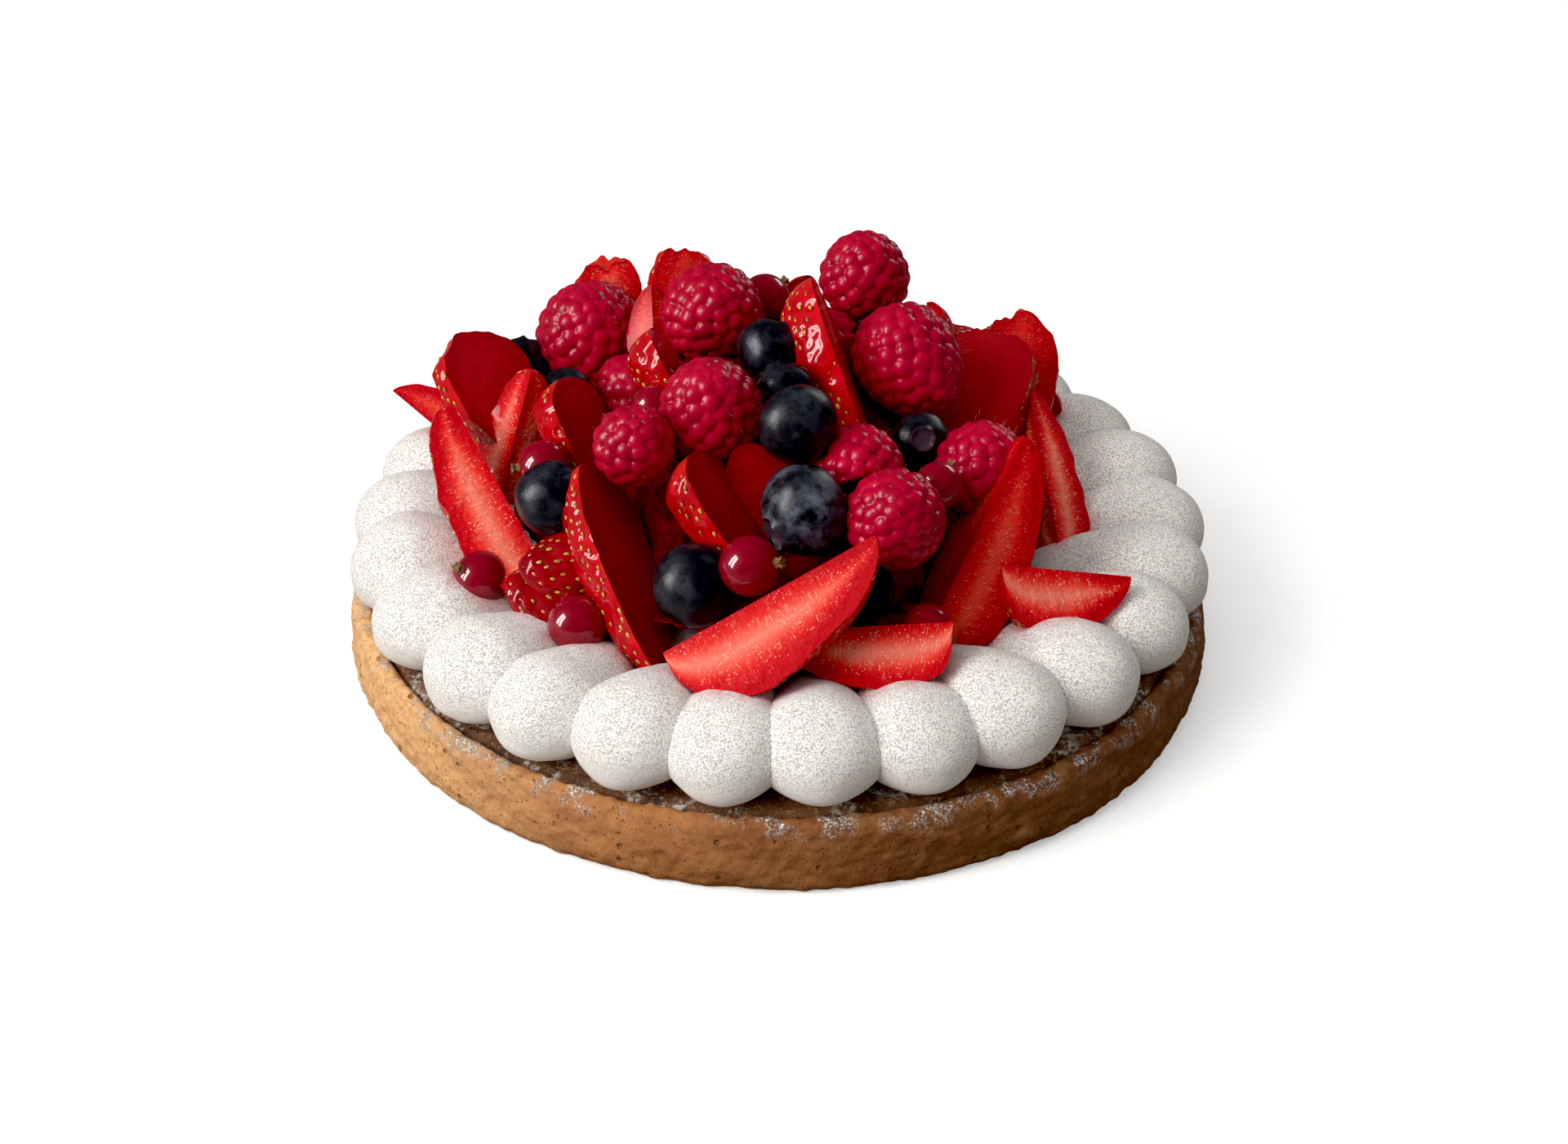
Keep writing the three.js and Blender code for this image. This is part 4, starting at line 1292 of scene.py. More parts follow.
    def hairs(self, middles: np.ndarray, centres: np.ndarray, place: np.ndarray,
              palette: Palette) -> bpy.types.Object:
        """Builds the fine dry hairs between the drupelets.

        Args:
            middles: The middle of each drupelet.
            centres: The way out at each drupelet.
            place: The matrix that sets the berry in place.
            palette: The materials.

        Returns:
            All the hairs of the berry.
        """
        deselect_all()
        bpy.ops.mesh.primitive_cone_add(vertices=3, radius1=0.05, radius2=0.015, depth=1.5,
                                        location=(0, 0, 0.75))
        master = bpy.context.object
        bpy.ops.object.transform_apply(location=True, rotation=True, scale=True)
        rng = np.random.default_rng(len(middles) + 7)
        places = []
        for middle, way in zip(middles, centres):
            if rng.uniform() < self.bare_share:
                continue
            lean = way + rng.normal(scale=0.45, size=3)
            hair = round_frame(tuple(middle - way * 0.35 + rng.normal(scale=0.7, size=3) * 0.8), tuple(lean))
            hair[:3, :3] *= rng.uniform(0.7, 1.25)
            places.append(place @ hair)
        made = repeated(master, places, f"{self.name}_hairs")
        bpy.data.objects.remove(master)
        made.data.materials.append(palette.hair)
        return made


@dataclass
class Blueberry(RoundFruit):
    """A slightly flat blueberry with its five-lobed crown."""

    crown: Triple
    bloom: float = 0.25
    squash: float = 0.88
    ridge: float = 0.37
    ridge_width: float = 0.085
    bowl: float = 0.36

    def shape(self, palette: Palette) -> bpy.types.Object:
        """Builds the berry.

        Args:
            palette: The materials.

        Returns:
            The berry, dressed and in its place.
        """
        piece, turn, ring, height = self.ball(f"{self.name}_berry", 80, 64)
        points = np.column_stack([ring * np.cos(turn), ring * np.sin(turn), height * self.squash])
        lobes = 0.5 + 0.5 * np.cos(5.0 * turn + 0.4 * np.sin(3.0 * turn))
        from_top = np.where(points[:, 2] > 0.0, ring, 9.0)
        ridge = np.exp(-((from_top - self.ridge) / self.ridge_width) ** 2) * (0.03 + 0.06 * lobes)
        dip = -0.12 * (1.0 - (from_top / self.bowl) ** 2) - 0.04
        points[:, 2] += ridge + np.where(from_top < self.bowl, dip, 0.0)
        points *= self.radius * (1.0 + 0.018 * lumps(points * 10.0, 9.0, round(self.radius * 10.0)))[:, None]
        store(piece, "crown", np.clip((0.46 - from_top) / 0.1, 0.0, 1.0))
        set_points(piece, moved(points, round_frame(self.at, self.crown)))
        close_up(piece, 50.0)
        piece.data.materials.append(palette.blueberry[self.bloom])
        return piece


@dataclass
class Redcurrant(RoundFruit):
    """A round redcurrant with its dried flower."""

    flower: Triple
    vein_count: int = 12

    def shape(self, palette: Palette) -> bpy.types.Object:
        """Builds the currant.

        Args:
            palette: The materials.

        Returns:
            The currant, dressed and in its place.
        """
        place = round_frame(self.at, self.flower)
        piece, turn, ring, height = self.ball(f"{self.name}_bead", 64, 48)
        points = self.radius * np.column_stack([ring * np.cos(turn), ring * np.sin(turn), height])
        stripes = 0.5 + 0.5 * np.cos(self.vein_count * turn)
        store(piece, "vein", stripes * np.clip(ring * 1.4, 0.0, 1.0))
        set_points(piece, moved(points, place))
        close_up(piece, 60.0)
        piece.data.materials.append(palette.redcurrant)
        return join([piece, self.dry_flower(place, palette)], f"{self.name}_bead")

    def dry_flower(self, place: np.ndarray, palette: Palette) -> bpy.types.Object:
        """Builds the shrivelled flower.

        Args:
            place: The matrix that sets the currant in place.
            palette: The materials.

        Returns:
            The flower.
        """
        piece, across, up = wrap_sheet(f"{self.name}_flower", 30, 12)
        turn = across * 2.0 * math.pi
        flare = np.interp(up, [0.0, 0.15, 0.5, 0.8, 0.93, 1.0], [0.0, 0.2, 0.13, 0.20, 0.12, 0.0])
        flare = flare * (1.0 + 0.35 * np.cos(5.0 * turn) * up)
        height = np.interp(up, [0.0, 0.15, 0.8, 1.0], [0.93, 0.95, 1.26, 1.12])
        points = self.radius * np.column_stack([flare * np.cos(turn), flare * np.sin(turn), height])
        set_points(piece, moved(points, place))
        close_up(piece, 40.0)
        piece.data.materials.append(palette.flower)
        return piece


@dataclass
class StrawberryPiece(Fruit):
    """A cut piece of strawberry: a half, a wedge or a slice, with skin, seeds and wet cut faces.

    A half is what lies more than `half` from the axis towards the skin, and a slice what lies between
    the two distances of `plate`. A wedge is what lies within `wedge` degrees of an edge that runs `apex`
    behind the axis. Places along the fruit are shares from its root (0) to its tip (1), and each `_turn`
    is a share of the way round a cross-section.
    """

    root: Triple
    tip: Triple
    wide: float
    skin: Triple
    half: float | None = None
    wedge: float | None = None
    plate: tuple[float, float] | None = None
    apex: float = 0.0
    flesh: Flesh = Flesh.RIPE
    ragged: float = 0.0
    # Whether the skin is the copy darkened with painted shade.
    skin_in_painted_shade: bool = False
    cell: float = 2.5
    seed_margin: float = 0.35
    seed_size: Triple = (0.32, 0.24, 0.54)
    pit_depth: float = 0.42
    pit_width: float = 0.72
    mesh_step: float = 0.42
    widest: float = 0.3
    root_bluntness: float = 0.38
    tip_fullness: float = 1.7
    torn_length: float = 0.22
    red_tip: float = 0.55
    pale_band: float = 0.42
    skin_turn: float = 0.5
    edge_turn: float = 0.15
    cut_turn: float = 0.24
    apex_turn: float = 0.02

    def length(self) -> float:
        """Returns the length from root to tip."""
        return math.dist(self.root, self.tip)

    def place(self) -> np.ndarray:
        """Returns the matrix of the piece: Z from root to tip, and Y as near the skin as it goes."""
        root = np.array(self.root, dtype=float)
        along = np.array(self.tip, dtype=float) - root
        along /= np.linalg.norm(along)
        skin = np.array(self.skin, dtype=float)
        skin -= along * (skin @ along)
        skin /= np.linalg.norm(skin)
        return frame_matrix(np.cross(skin, along), skin, along, root)

    def width_at(self, along: np.ndarray) -> np.ndarray:
        """Returns the fruit's half width at places from its root (0) to its tip (1)."""
        low = (self.widest - np.minimum(along, self.widest)) / self.widest
        high = (np.maximum(along, self.widest) - self.widest) / (1.0 - self.widest)
        shoulder = np.clip(1.0 - low ** 2, 0.0, 1.0) ** self.root_bluntness
        return self.wide * shoulder * np.sqrt(np.clip(1.0 - high ** self.tip_fullness, 0.0, 1.0))

    def distance(self, points: np.ndarray) -> np.ndarray:
        """Returns how far each point is from the piece, in millimetres."""
        local = (points - np.array(self.root)) @ self.place()[:3, :3]
        along = np.clip(local[:, 2] / self.length(), 0.0, 1.0)
        side = np.hypot(local[:, 0], local[:, 1])
        beyond = np.abs(local[:, 2] - along * self.length())
        behind = np.maximum(-self.depth(local[:, 0], local[:, 1]), 0.0)
        return np.hypot(np.maximum(side - self.width_at(along), 0.0), beyond) + behind

    def section(self, share: np.ndarray, width: np.ndarray) -> tuple[np.ndarray, np.ndarray, np.ndarray]:
        """Goes round the piece's cross-section.

        Args:
            share: How far round each point is, from 0 to 1.
            width: The fruit's half width there.

        Returns:
            The points' places across and towards the skin, and 1 where a point is on the skin.
        """
        if self.wedge is not None:
            return self.wedge_section(share, width)
        low, high = (self.half, 1e9) if self.plate is None else self.plate
        start = np.arcsin(np.clip(low / np.maximum(width, 1e-6), -1.0, 1.0))
        end = np.arcsin(np.clip(high / np.maximum(width, 1e-6), -1.0, 1.0))
        half, edge = self.skin_turn, self.edge_turn
        if self.plate is None:
            angle = start + np.clip(share / half, 0.0, 1.0) * (math.pi - 2.0 * start)
            back = np.clip((share - half) / half, 0.0, 1.0)
            reach = width * np.cos(start)
            x = np.where(share <= half, width * np.cos(angle), -reach + 2.0 * reach * back)
            y = np.where(share <= half, width * np.sin(angle), width * np.sin(start))
            return x, y, (share <= half).astype(float)
        far_edge, face = half + edge, half - edge
        right = np.clip(share / edge, 0.0, 1.0)
        top = np.clip((share - edge) / face, 0.0, 1.0)
        left = np.clip((share - half) / edge, 0.0, 1.0)
        under = np.clip((share - far_edge) / face, 0.0, 1.0)
        x = width * np.cos(start + right * (end - start))
        y = width * np.sin(start + right * (end - start))
        x = np.where(share > edge, width * np.cos(end) * (1.0 - 2.0 * top), x)
        y = np.where(share > edge, width * np.sin(end), y)
        x = np.where(share > half, -width * np.cos(end + left * (start - end)), x)
        y = np.where(share > half, width * np.sin(end + left * (start - end)), y)
        x = np.where(share > far_edge, -width * np.cos(start) * (1.0 - 2.0 * under), x)
        y = np.where(share > far_edge, width * np.sin(start), y)
        on_skin = (share <= edge) | ((share >= half) & (share <= far_edge))
        return x, y, on_skin.astype(float)

    def wedge_section(self, share: np.ndarray,
                      width: np.ndarray) -> tuple[np.ndarray, np.ndarray, np.ndarray]:
        """Goes round the cross-section of a wedge: the skin, one cut to its edge, and back along the other.

        Args:
            share: How far round each point is, from 0 to 1.
            width: The fruit's half width there.

        Returns:
            The points' places across and towards the skin, and 1 where a point is on the skin.
        """
        lean = math.radians(self.wedge / 2.0)
        side, up = math.sin(lean), math.cos(lean)
        reach = np.sqrt(np.maximum(width ** 2 - (self.apex * side) ** 2, 0.0))
        outer = self.apex * up + reach
        inner = np.where(width > self.apex, 0.0, self.apex * up - reach)
        ends = []
        for far in (outer, inner):
            x, y = far * side, far * up - self.apex
            shrink = np.minimum(1.0, width / np.maximum(np.hypot(x, y), 1e-6))
            ends.append((x * shrink, y * shrink))
        (outer_x, outer_y), (inner_x, inner_y) = ends
        half = self.skin_turn
        first_end = half + self.cut_turn
        second_start = first_end + self.apex_turn
        start = np.arctan2(outer_y, outer_x)
        angle = start + np.clip(share / half, 0.0, 1.0) * (math.pi - 2.0 * start)
        down = np.clip((share - half) / self.cut_turn, 0.0, 1.0)
        cross = np.clip((share - first_end) / self.apex_turn, 0.0, 1.0)
        back = np.clip((share - second_start) / self.cut_turn, 0.0, 1.0)
        x = np.where(share <= half, width * np.cos(angle), -outer_x + down * (outer_x - inner_x))
        y = np.where(share <= half, width * np.sin(angle), outer_y + down * (inner_y - outer_y))
        x = np.where(share > first_end, -inner_x + cross * 2.0 * inner_x, x)
        x = np.where(share > second_start, inner_x + back * (outer_x - inner_x), x)
        y = np.where(share > second_start, inner_y + back * (outer_y - inner_y), y)
        return x, y, (share <= half).astype(float)

    def cut_planes(self) -> list[tuple[float, float]]:
        """Returns the angle that each flat cut faces into the piece, in radians, and its distance."""
        quarter = math.pi / 2.0
        if self.wedge is not None:
            lean = math.radians(self.wedge / 2.0)
            return [(math.pi - lean, -self.apex * math.sin(lean)), (lean, -self.apex * math.sin(lean))]
        if self.plate is not None:
            return [(quarter, self.plate[0]), (-quarter, -self.plate[1])]
        return [(quarter, self.half)]

    def depth(self, x: np.ndarray, y: np.ndarray) -> np.ndarray:
        """Returns how far inside the nearest flat cut each place in a cross-section is."""
        gaps = [x * math.cos(turn) + y * math.sin(turn) - offset for turn, offset in self.cut_planes()]
        return np.minimum.reduce(gaps)

    def seed_places(self) -> tuple[np.ndarray, np.ndarray]:
        """Lays out the seeds in a spiral over the whole fruit and keeps those on the piece's skin.

        Returns:
            The places and the outward ways of the seeds that are kept.
        """
        length = self.length()
        steps = np.linspace(0.02, 0.985, 400)
        width = self.width_at(steps)
        slope = np.gradient(width, steps * length)
        ring_area = 2.0 * math.pi * width * np.sqrt(1.0 + slope ** 2) * length * (steps[1] - steps[0])
        covered = np.cumsum(ring_area)
        count = int(covered[-1] / (self.cell ** 2 * 0.9))
        rng = np.random.default_rng(round(abs(self.root[0]) * 7.0 + self.wide * 31.0))
        order = (np.arange(count) + 0.5 + rng.normal(scale=0.25, size=count)) / count * covered[-1]
        along = np.interp(order, covered, steps)
        turn = np.arange(count) * GOLDEN_TURN + rng.normal(scale=0.08, size=count)
        half_width = self.width_at(along)
        x, y = half_width * np.cos(turn), half_width * np.sin(turn)
        keep = self.depth(x, y) > self.seed_margin
        keep &= (along > 0.05) & (half_width > 1.2)
        lean = np.interp(along, steps, slope)
        ways = np.column_stack([np.cos(turn), np.sin(turn), -lean])
        ways /= np.linalg.norm(ways, axis=1)[:, None]
        return np.column_stack([x, y, along * length])[keep], ways[keep]

    def build_body(self, name: str, palette: Palette) -> bpy.types.Object:
        """Builds the piece without its seeds.

        Args:
            name: The new piece's name.
            palette: The materials.

        Returns:
            The body of the piece.
        """
        length = self.length()
        rows = max(24, round(length * 1.1 / self.mesh_step))
        columns = max(40, 20 * round((2.0 * self.wide + math.pi * self.wide * 0.8) / self.mesh_step / 20.0))
        piece, share, up = wrap_sheet(name, columns, rows)
        offset = self.half or 0.0
        whole = np.linspace(0.0, 1.0, 2001)
        kept = whole[self.width_at(whole) >= offset]
        along = kept[0] + (kept[-1] - kept[0]) * (1.0 - np.cos(math.pi * up)) / 2.0
        width = self.width_at(along)
        x, y, on_skin = self.section(np.round(share * columns) / columns, width)
        points = np.column_stack([x, y, along * length])
        radial = np.hypot(x, y)
        seeds, _ = self.seed_places()
        pit = np.zeros(len(points))
        on = np.flatnonzero(on_skin)
        if len(seeds):
            gaps = np.linalg.norm(points[on, None, :] - seeds[None, :, :], axis=2).min(axis=1)
            pit[on] = np.exp(-(gaps / self.pit_width) ** 2)
        seed_number = round(self.wide * 10.0 + length)
        outward = np.column_stack([x, y, np.zeros(len(x))]) / np.maximum(radial, 0.3)[:, None]
        push = 0.05 * on_skin - self.pit_depth * pit
        points += outward * push[:, None]
        soft = 0.35 * lumps(points, 9.0, seed_number) + 0.12 * lumps(points, 3.2, seed_number + 1)
        points += outward * (soft * np.clip(radial / self.wide, 0.0, 1.0))[:, None]
        fade = np.clip(along / self.torn_length, 0.0, 1.0)
        end = points * np.array([1.0, 1.0, 0.2])
        torn = lumps(end, 6.5, seed_number + 2) + 0.4 * lumps(end, 2.4, seed_number + 3)
        points[:, 2] += self.ragged * (1.0 - fade) * torn
        store(piece, "along", along)
        store(piece, "pit", pit)
        to_tip = np.clip((along - self.red_tip) / (1.0 - self.red_tip), 0.0, 1.0) ** 1.5
        store(piece, "core", np.clip(self.ripeness(radial, x, y, width) + 0.7 * to_tip, 0.0, 1.0))
        self.lay_fibres(piece, points, radial, length)
        # Pieces in shade take the skin darkened with painted shade.
        piece.data.materials.append(palette.painted_shade_skin if self.skin_in_painted_shade else palette.skin)
        piece.data.materials.append(palette.flesh[self.flesh])
        corners = np.array([list(face.vertices) for face in piece.data.polygons])
        is_flesh = on_skin[corners].min(axis=1) < 0.5
        piece.data.polygons.foreach_set("material_index", is_flesh.astype(np.int32))
        set_points(piece, moved(points, self.place()))
        close_up(piece, 52.0)
        return piece

    def ripeness(self, radial: np.ndarray, x: np.ndarray, y: np.ndarray, width: np.ndarray) -> np.ndarray:
        """Returns how red each point is, from 0 in the pale middle of a cut face to 1 at its edges.

        Args:
            radial: How far each point is from the axis.
            x: Its place across.
            y: Its place towards the skin.
            width: The fruit's half width there.
        """
        if self.wedge is None:
            return np.clip(radial / np.maximum(width, 0.5), 0.0, 1.0)
        from_edge = np.hypot(x, y + self.apex) / np.maximum(width + self.apex * 0.8, 0.5)
        return np.clip(np.abs(from_edge - self.pale_band) / 0.5, 0.0, 1.0)

    @staticmethod
    def lay_fibres(piece: bpy.types.Object, points: np.ndarray, radial: np.ndarray, length: float) -> None:
        """Lays the UV map so that its first direction runs from the fruit's middle to its skin.

        Args:
            piece: The body of the piece.
            points: Its points, still along its own axis.
            radial: How far each point is from the axis.
            length: The length of the fruit.
        """
        slant = points[:, 2] - 0.55 * radial + 0.012 * length * radial
        corner = np.empty(len(piece.data.loops), dtype=np.int32)
        piece.data.loops.foreach_get("vertex_index", corner)
        sheet = np.column_stack([radial[corner], slant[corner]])
        piece.data.uv_layers.active.data.foreach_set("uv", sheet.ravel())

    def build_seeds(self, name: str, palette: Palette) -> bpy.types.Object | None:
        """Builds the seeds in their dimples.

        Args:
            name: The name of the seeds.
            palette: The materials.

        Returns:
            All the seeds of the piece, or None if it has none.
        """
        middles, ways = self.seed_places()
        if not len(middles):
            return None
        deselect_all()
        bpy.ops.mesh.primitive_uv_sphere_add(segments=8, ring_count=5, radius=1.0)
        master = bpy.context.object
        shape = points_of(master)
        wide, thick, long = self.seed_size
        shape[:, 0] *= wide * (1.0 - 0.25 * shape[:, 2])
        shape[:, 1] *= thick
        shape[:, 2] *= long
        master.data.vertices.foreach_set("co", shape.ravel())
        rng = np.random.default_rng(len(middles))
        place = self.place()
        places = []
        for middle, way in zip(middles, ways):
            along = np.array([0.0, 0.0, 1.0]) + rng.normal(scale=0.12, size=3)
            along -= way * (along @ way)
            along /= np.linalg.norm(along)
            spot = frame_matrix(np.cross(way, along), way, along, middle - way * 0.30)
            spot[:3, :3] *= rng.uniform(0.85, 1.15)
            places.append(place @ spot)
        made = repeated(master, places, name)
        bpy.data.objects.remove(master)
        made.data.materials.append(palette.seed)
        return made

    def shape(self, palette: Palette) -> bpy.types.Object:
        """Builds the piece.

        Args:
            palette: The materials.

        Returns:
            The piece, dressed and in its place.
        """
        name = f"{self.name}_cut"
        body = self.build_body(name, palette)
        seeds = self.build_seeds(f"{self.name}_seeds", palette)
        return join([body] if seeds is None else [body, seeds], name)


RASPBERRIES = [
    Raspberry("raspberry_left_back", (-37, 32, 46.5), 10.8, 10.6, (-0.1, -0.45, 0.9)),
    Raspberry("raspberry_back", (-13, 23, 56), 9.8, 9.6, (0.25, -0.7, 0.65)),
    Raspberry("raspberry_top", (15.5, 36, 58), 8.8, 8.8, (0.05, -0.3, 1)),
    Raspberry("raspberry_right_back", (23.5, 8, 54), 9.8, 11.6, (0.55, -0.55, -0.45)),
    Raspberry("raspberry_middle", (-12.5, -13, 55.5), 9.4, 10.4, (-0.05, -0.4, 0.9)),
    Raspberry("raspberry_small", (-25.5, -22, 53), 7.4, 7.8, (0.3, -0.7, 0.6)),
    Raspberry("raspberry_hollow", (14, -22.5, 49.5), 8, 8.2, (-0.1, 0.85, 0.45), hollow=True),
    Raspberry("raspberry_front", (20, -37, 48), 8.9, 9.6, (0.1, -0.7, 0.65)),
    Raspberry("raspberry_right", (36, -17, 46.5), 9, 8.8, (0.3, -0.25, 0.9)),
]

BLUEBERRIES = [
    Blueberry("blueberry_left_back", (-50, 29, 40.5), 6.2, (0.3, 0.5, 0.7)),
    Blueberry("blueberry_left", (-40, 10, 45), 5.3, (0, 1, 0)),
    Blueberry("blueberry_deep", (-2, 5.5, 57), 6.6, (0.6, 0.3, 0.6)),
    Blueberry("blueberry_behind", (0.5, -6.5, 55.5), 5.8, (-0.5, 0.5, 0.5)),
    Blueberry("blueberry_middle", (3, -22, 57.5), 7.2, (-0.5, 0.8, 0.1)),
    Blueberry("blueberry_crown", (25, -12, 48.5), 5.5, (0.05, -0.8, 0.6)),
    Blueberry("blueberry_left_front", (-40, -24, 43), 6.8, (-0.1, 0.8, -0.6)),
    Blueberry("blueberry_large", (4.5, -34.5, 47.5), 8.4, (-0.75, -0.5, -0.3), bloom=0.9),
    Blueberry("blueberry_front", (-14.5, -43, 37.5), 7.3, (0.2, 0.75, -0.6)),
    Blueberry("blueberry_shade", (14.5, -42.5, 36.5), 5.7, (0.5, 0.6, -0.6)),
]

REDCURRANTS = [
    Redcurrant("redcurrant_back", (-3.5, 31.5, 54.5), 4.9, (0.5, 0.5, 0.3)),
    Redcurrant("redcurrant_left_top", (-23, -6, 51.5), 4.2, (0.2, 0.9, 0.2)),
    Redcurrant("redcurrant_left", (-42.5, -13, 43), 4.8, (-0.9, -0.3, 0.1)),
    Redcurrant("redcurrant_edge", (-53, -28, 28.5), 5.1, (-0.6, -0.4, 0.6)),
    Redcurrant("redcurrant_low", (-35, -41.5, 28), 5.2, (0.5, 0.6, -0.5)),
    Redcurrant("redcurrant_front", (-5, -44.5, 42.5), 5.3, (0.85, -0.35, 0.35)),
    Redcurrant("redcurrant_right", (27.5, -28.5, 49.5), 4.2, (0.4, 0.6, 0.4)),
    Redcurrant("redcurrant_shade", (25.5, -48.5, 33), 4.3, (0.9, -0.4, -0.2)),
]

PALE, DARK = Flesh.PALE, Flesh.DARK
# DARK flesh is partly painted shade, and the darker skin is painted shade.
STRAWBERRIES = [
    StrawberryPiece("strawberry_far_left", (-57, 6, 33), (-75, 26, 36.5), 7.6, (0.8, 0.6, -0.2), wedge=80),
    StrawberryPiece("strawberry_left_slice", (-60, 20, 51), (-46.5, 2.5, 33.5), 9.4,
                    (-0.49, 0.4, -0.78), plate=(-2.2, 2.6), flesh=DARK, ragged=0.8),
    StrawberryPiece("strawberry_long_left", (-42, -30, 28), (-62, 0, 47), 9.6,
                    (-0.6, 0.2, -0.8), wedge=95, apex=3, flesh=PALE),
    StrawberryPiece("strawberry_thin_wedge", (-52, -5, 30.5), (-46, 8, 51.5), 7.2,
                    (-0.1, 0.7, -0.7), wedge=95, apex=2, flesh=PALE),
    StrawberryPiece("strawberry_left_half", (-38.5, 4, 52), (-31, -11, 36), 9,
                    (-0.81, 0.18, -0.55), half=0, flesh=DARK),
    StrawberryPiece("strawberry_small_left", (-32.5, -30, 31.5), (-46, -33, 33.5), 7,
                    (0.2, -0.4, 0.9), half=1, skin_in_painted_shade=True),
    StrawberryPiece("strawberry_large_half", (-33, -19.5, 48), (-19, -49, 21.5), 9.3,
                    (-0.81, 0.14, -0.58), half=0, flesh=DARK),
    StrawberryPiece("strawberry_middle_half", (-15, -25, 53.5), (-1.5, -36.5, 34.5), 8.5,
                    (-0.77, 0.13, -0.63), half=0, flesh=DARK),
    StrawberryPiece("strawberry_front", (-19.5, -55, 31.5), (16, -50, 52.5), 14.5,
                    (0.51, -0.06, -0.86), wedge=95, flesh=PALE),
    StrawberryPiece("strawberry_front_right", (29.5, -52.5, 37), (-0.5, -51, 33.5), 11.5,
                    (0.11, -0.06, -0.99), wedge=85, flesh=PALE),
    StrawberryPiece("strawberry_right_wedge", (39, -35, 37.5), (62, -32, 33.5), 11.5,
                    (-0.16, -0.07, -0.98), wedge=80, flesh=PALE),
    StrawberryPiece("strawberry_big_wedge", (25.5, -42.5, 26), (42.5, -22, 56), 12,
                    (0.44, 0.6, -0.66), wedge=100),
    StrawberryPiece("strawberry_right_slice", (52, -12, 23.5), (46, 14, 46), 8,
                    (0.3, 0.7, -0.7), wedge=90, flesh=PALE),
    StrawberryPiece("strawberry_right_back", (44.5, 33, 50.5), (46, 13, 34), 7.4,
                    (-0.2, 0.6, -0.8), plate=(-2.2, 2.6), ragged=1.2),
    StrawberryPiece("strawberry_behind_right", (38, 27, 50), (34, 3, 35), 11.5,
                    (0.3, 0.5, -0.8), plate=(-2.0, 3.4), flesh=DARK, ragged=0.8),
    StrawberryPiece("strawberry_tall_half", (6, 17, 65.5), (17, -10, 44.5), 9.5,
                    (-0.9, -0.05, -0.35), half=0),
    StrawberryPiece("strawberry_back_tip", (5, 40, 44.5), (4, 40, 55), 6, (-0.5, 0.8, 0), wedge=120),
    StrawberryPiece("strawberry_right_tip", (26.5, 24, 46), (27.5, 34, 53), 6, (1, 0.1, -0.3), wedge=140),
    StrawberryPiece("strawberry_left_top", (-34, 44, 55.5), (-33.5, 31, 42.5), 6.5,
                    (-0.2, 0.7, -0.7), plate=(-2.2, 2.4), flesh=PALE, ragged=1.2),
    StrawberryPiece("strawberry_back_left", (-19.5, 42, 58.5), (-18.5, 25, 43), 7.2,
                    (-0.3, 0.8, -0.55), plate=(-2.0, 2.4), ragged=1.2),
    StrawberryPiece("strawberry_back_cut", (-24, 18, 48.5), (-25, 28, 59), 6.5, (0, 0.7, -0.7), wedge=110),
    StrawberryPiece("strawberry_back_half", (-22.5, 9, 59), (-16, -4, 49.5), 8,
                    (-0.8, -0.1, -0.5), half=0, flesh=DARK),
    StrawberryPiece("strawberry_deep", (1, -26, 38), (-7.5, -20, 52), 6.5,
                    (-0.21, 0.84, -0.49), half=0, flesh=DARK),
    StrawberryPiece("strawberry_dark_low", (-38, -35, 23.5), (-48, -31, 31), 7,
                    (0.5, -0.4, 0.8), half=1, skin_in_painted_shade=True),
    StrawberryPiece("strawberry_rear_left", (-46, 42, 26), (-30, 52, 38), 9, (-0.2, 0.9, 0.4), half=0),
    StrawberryPiece("strawberry_rear_middle", (-20, 56, 27), (-2, 49, 43), 10, (0, 0.9, 0.4), half=0),
    StrawberryPiece("strawberry_rear_right", (42, 44, 26), (20, 53, 38), 9.5, (0.2, 0.9, 0.4), half=0),
    StrawberryPiece("strawberry_rear_side", (36, 40, 25), (54, 30, 33), 8, (0.6, 0.7, 0.2), wedge=110),
]


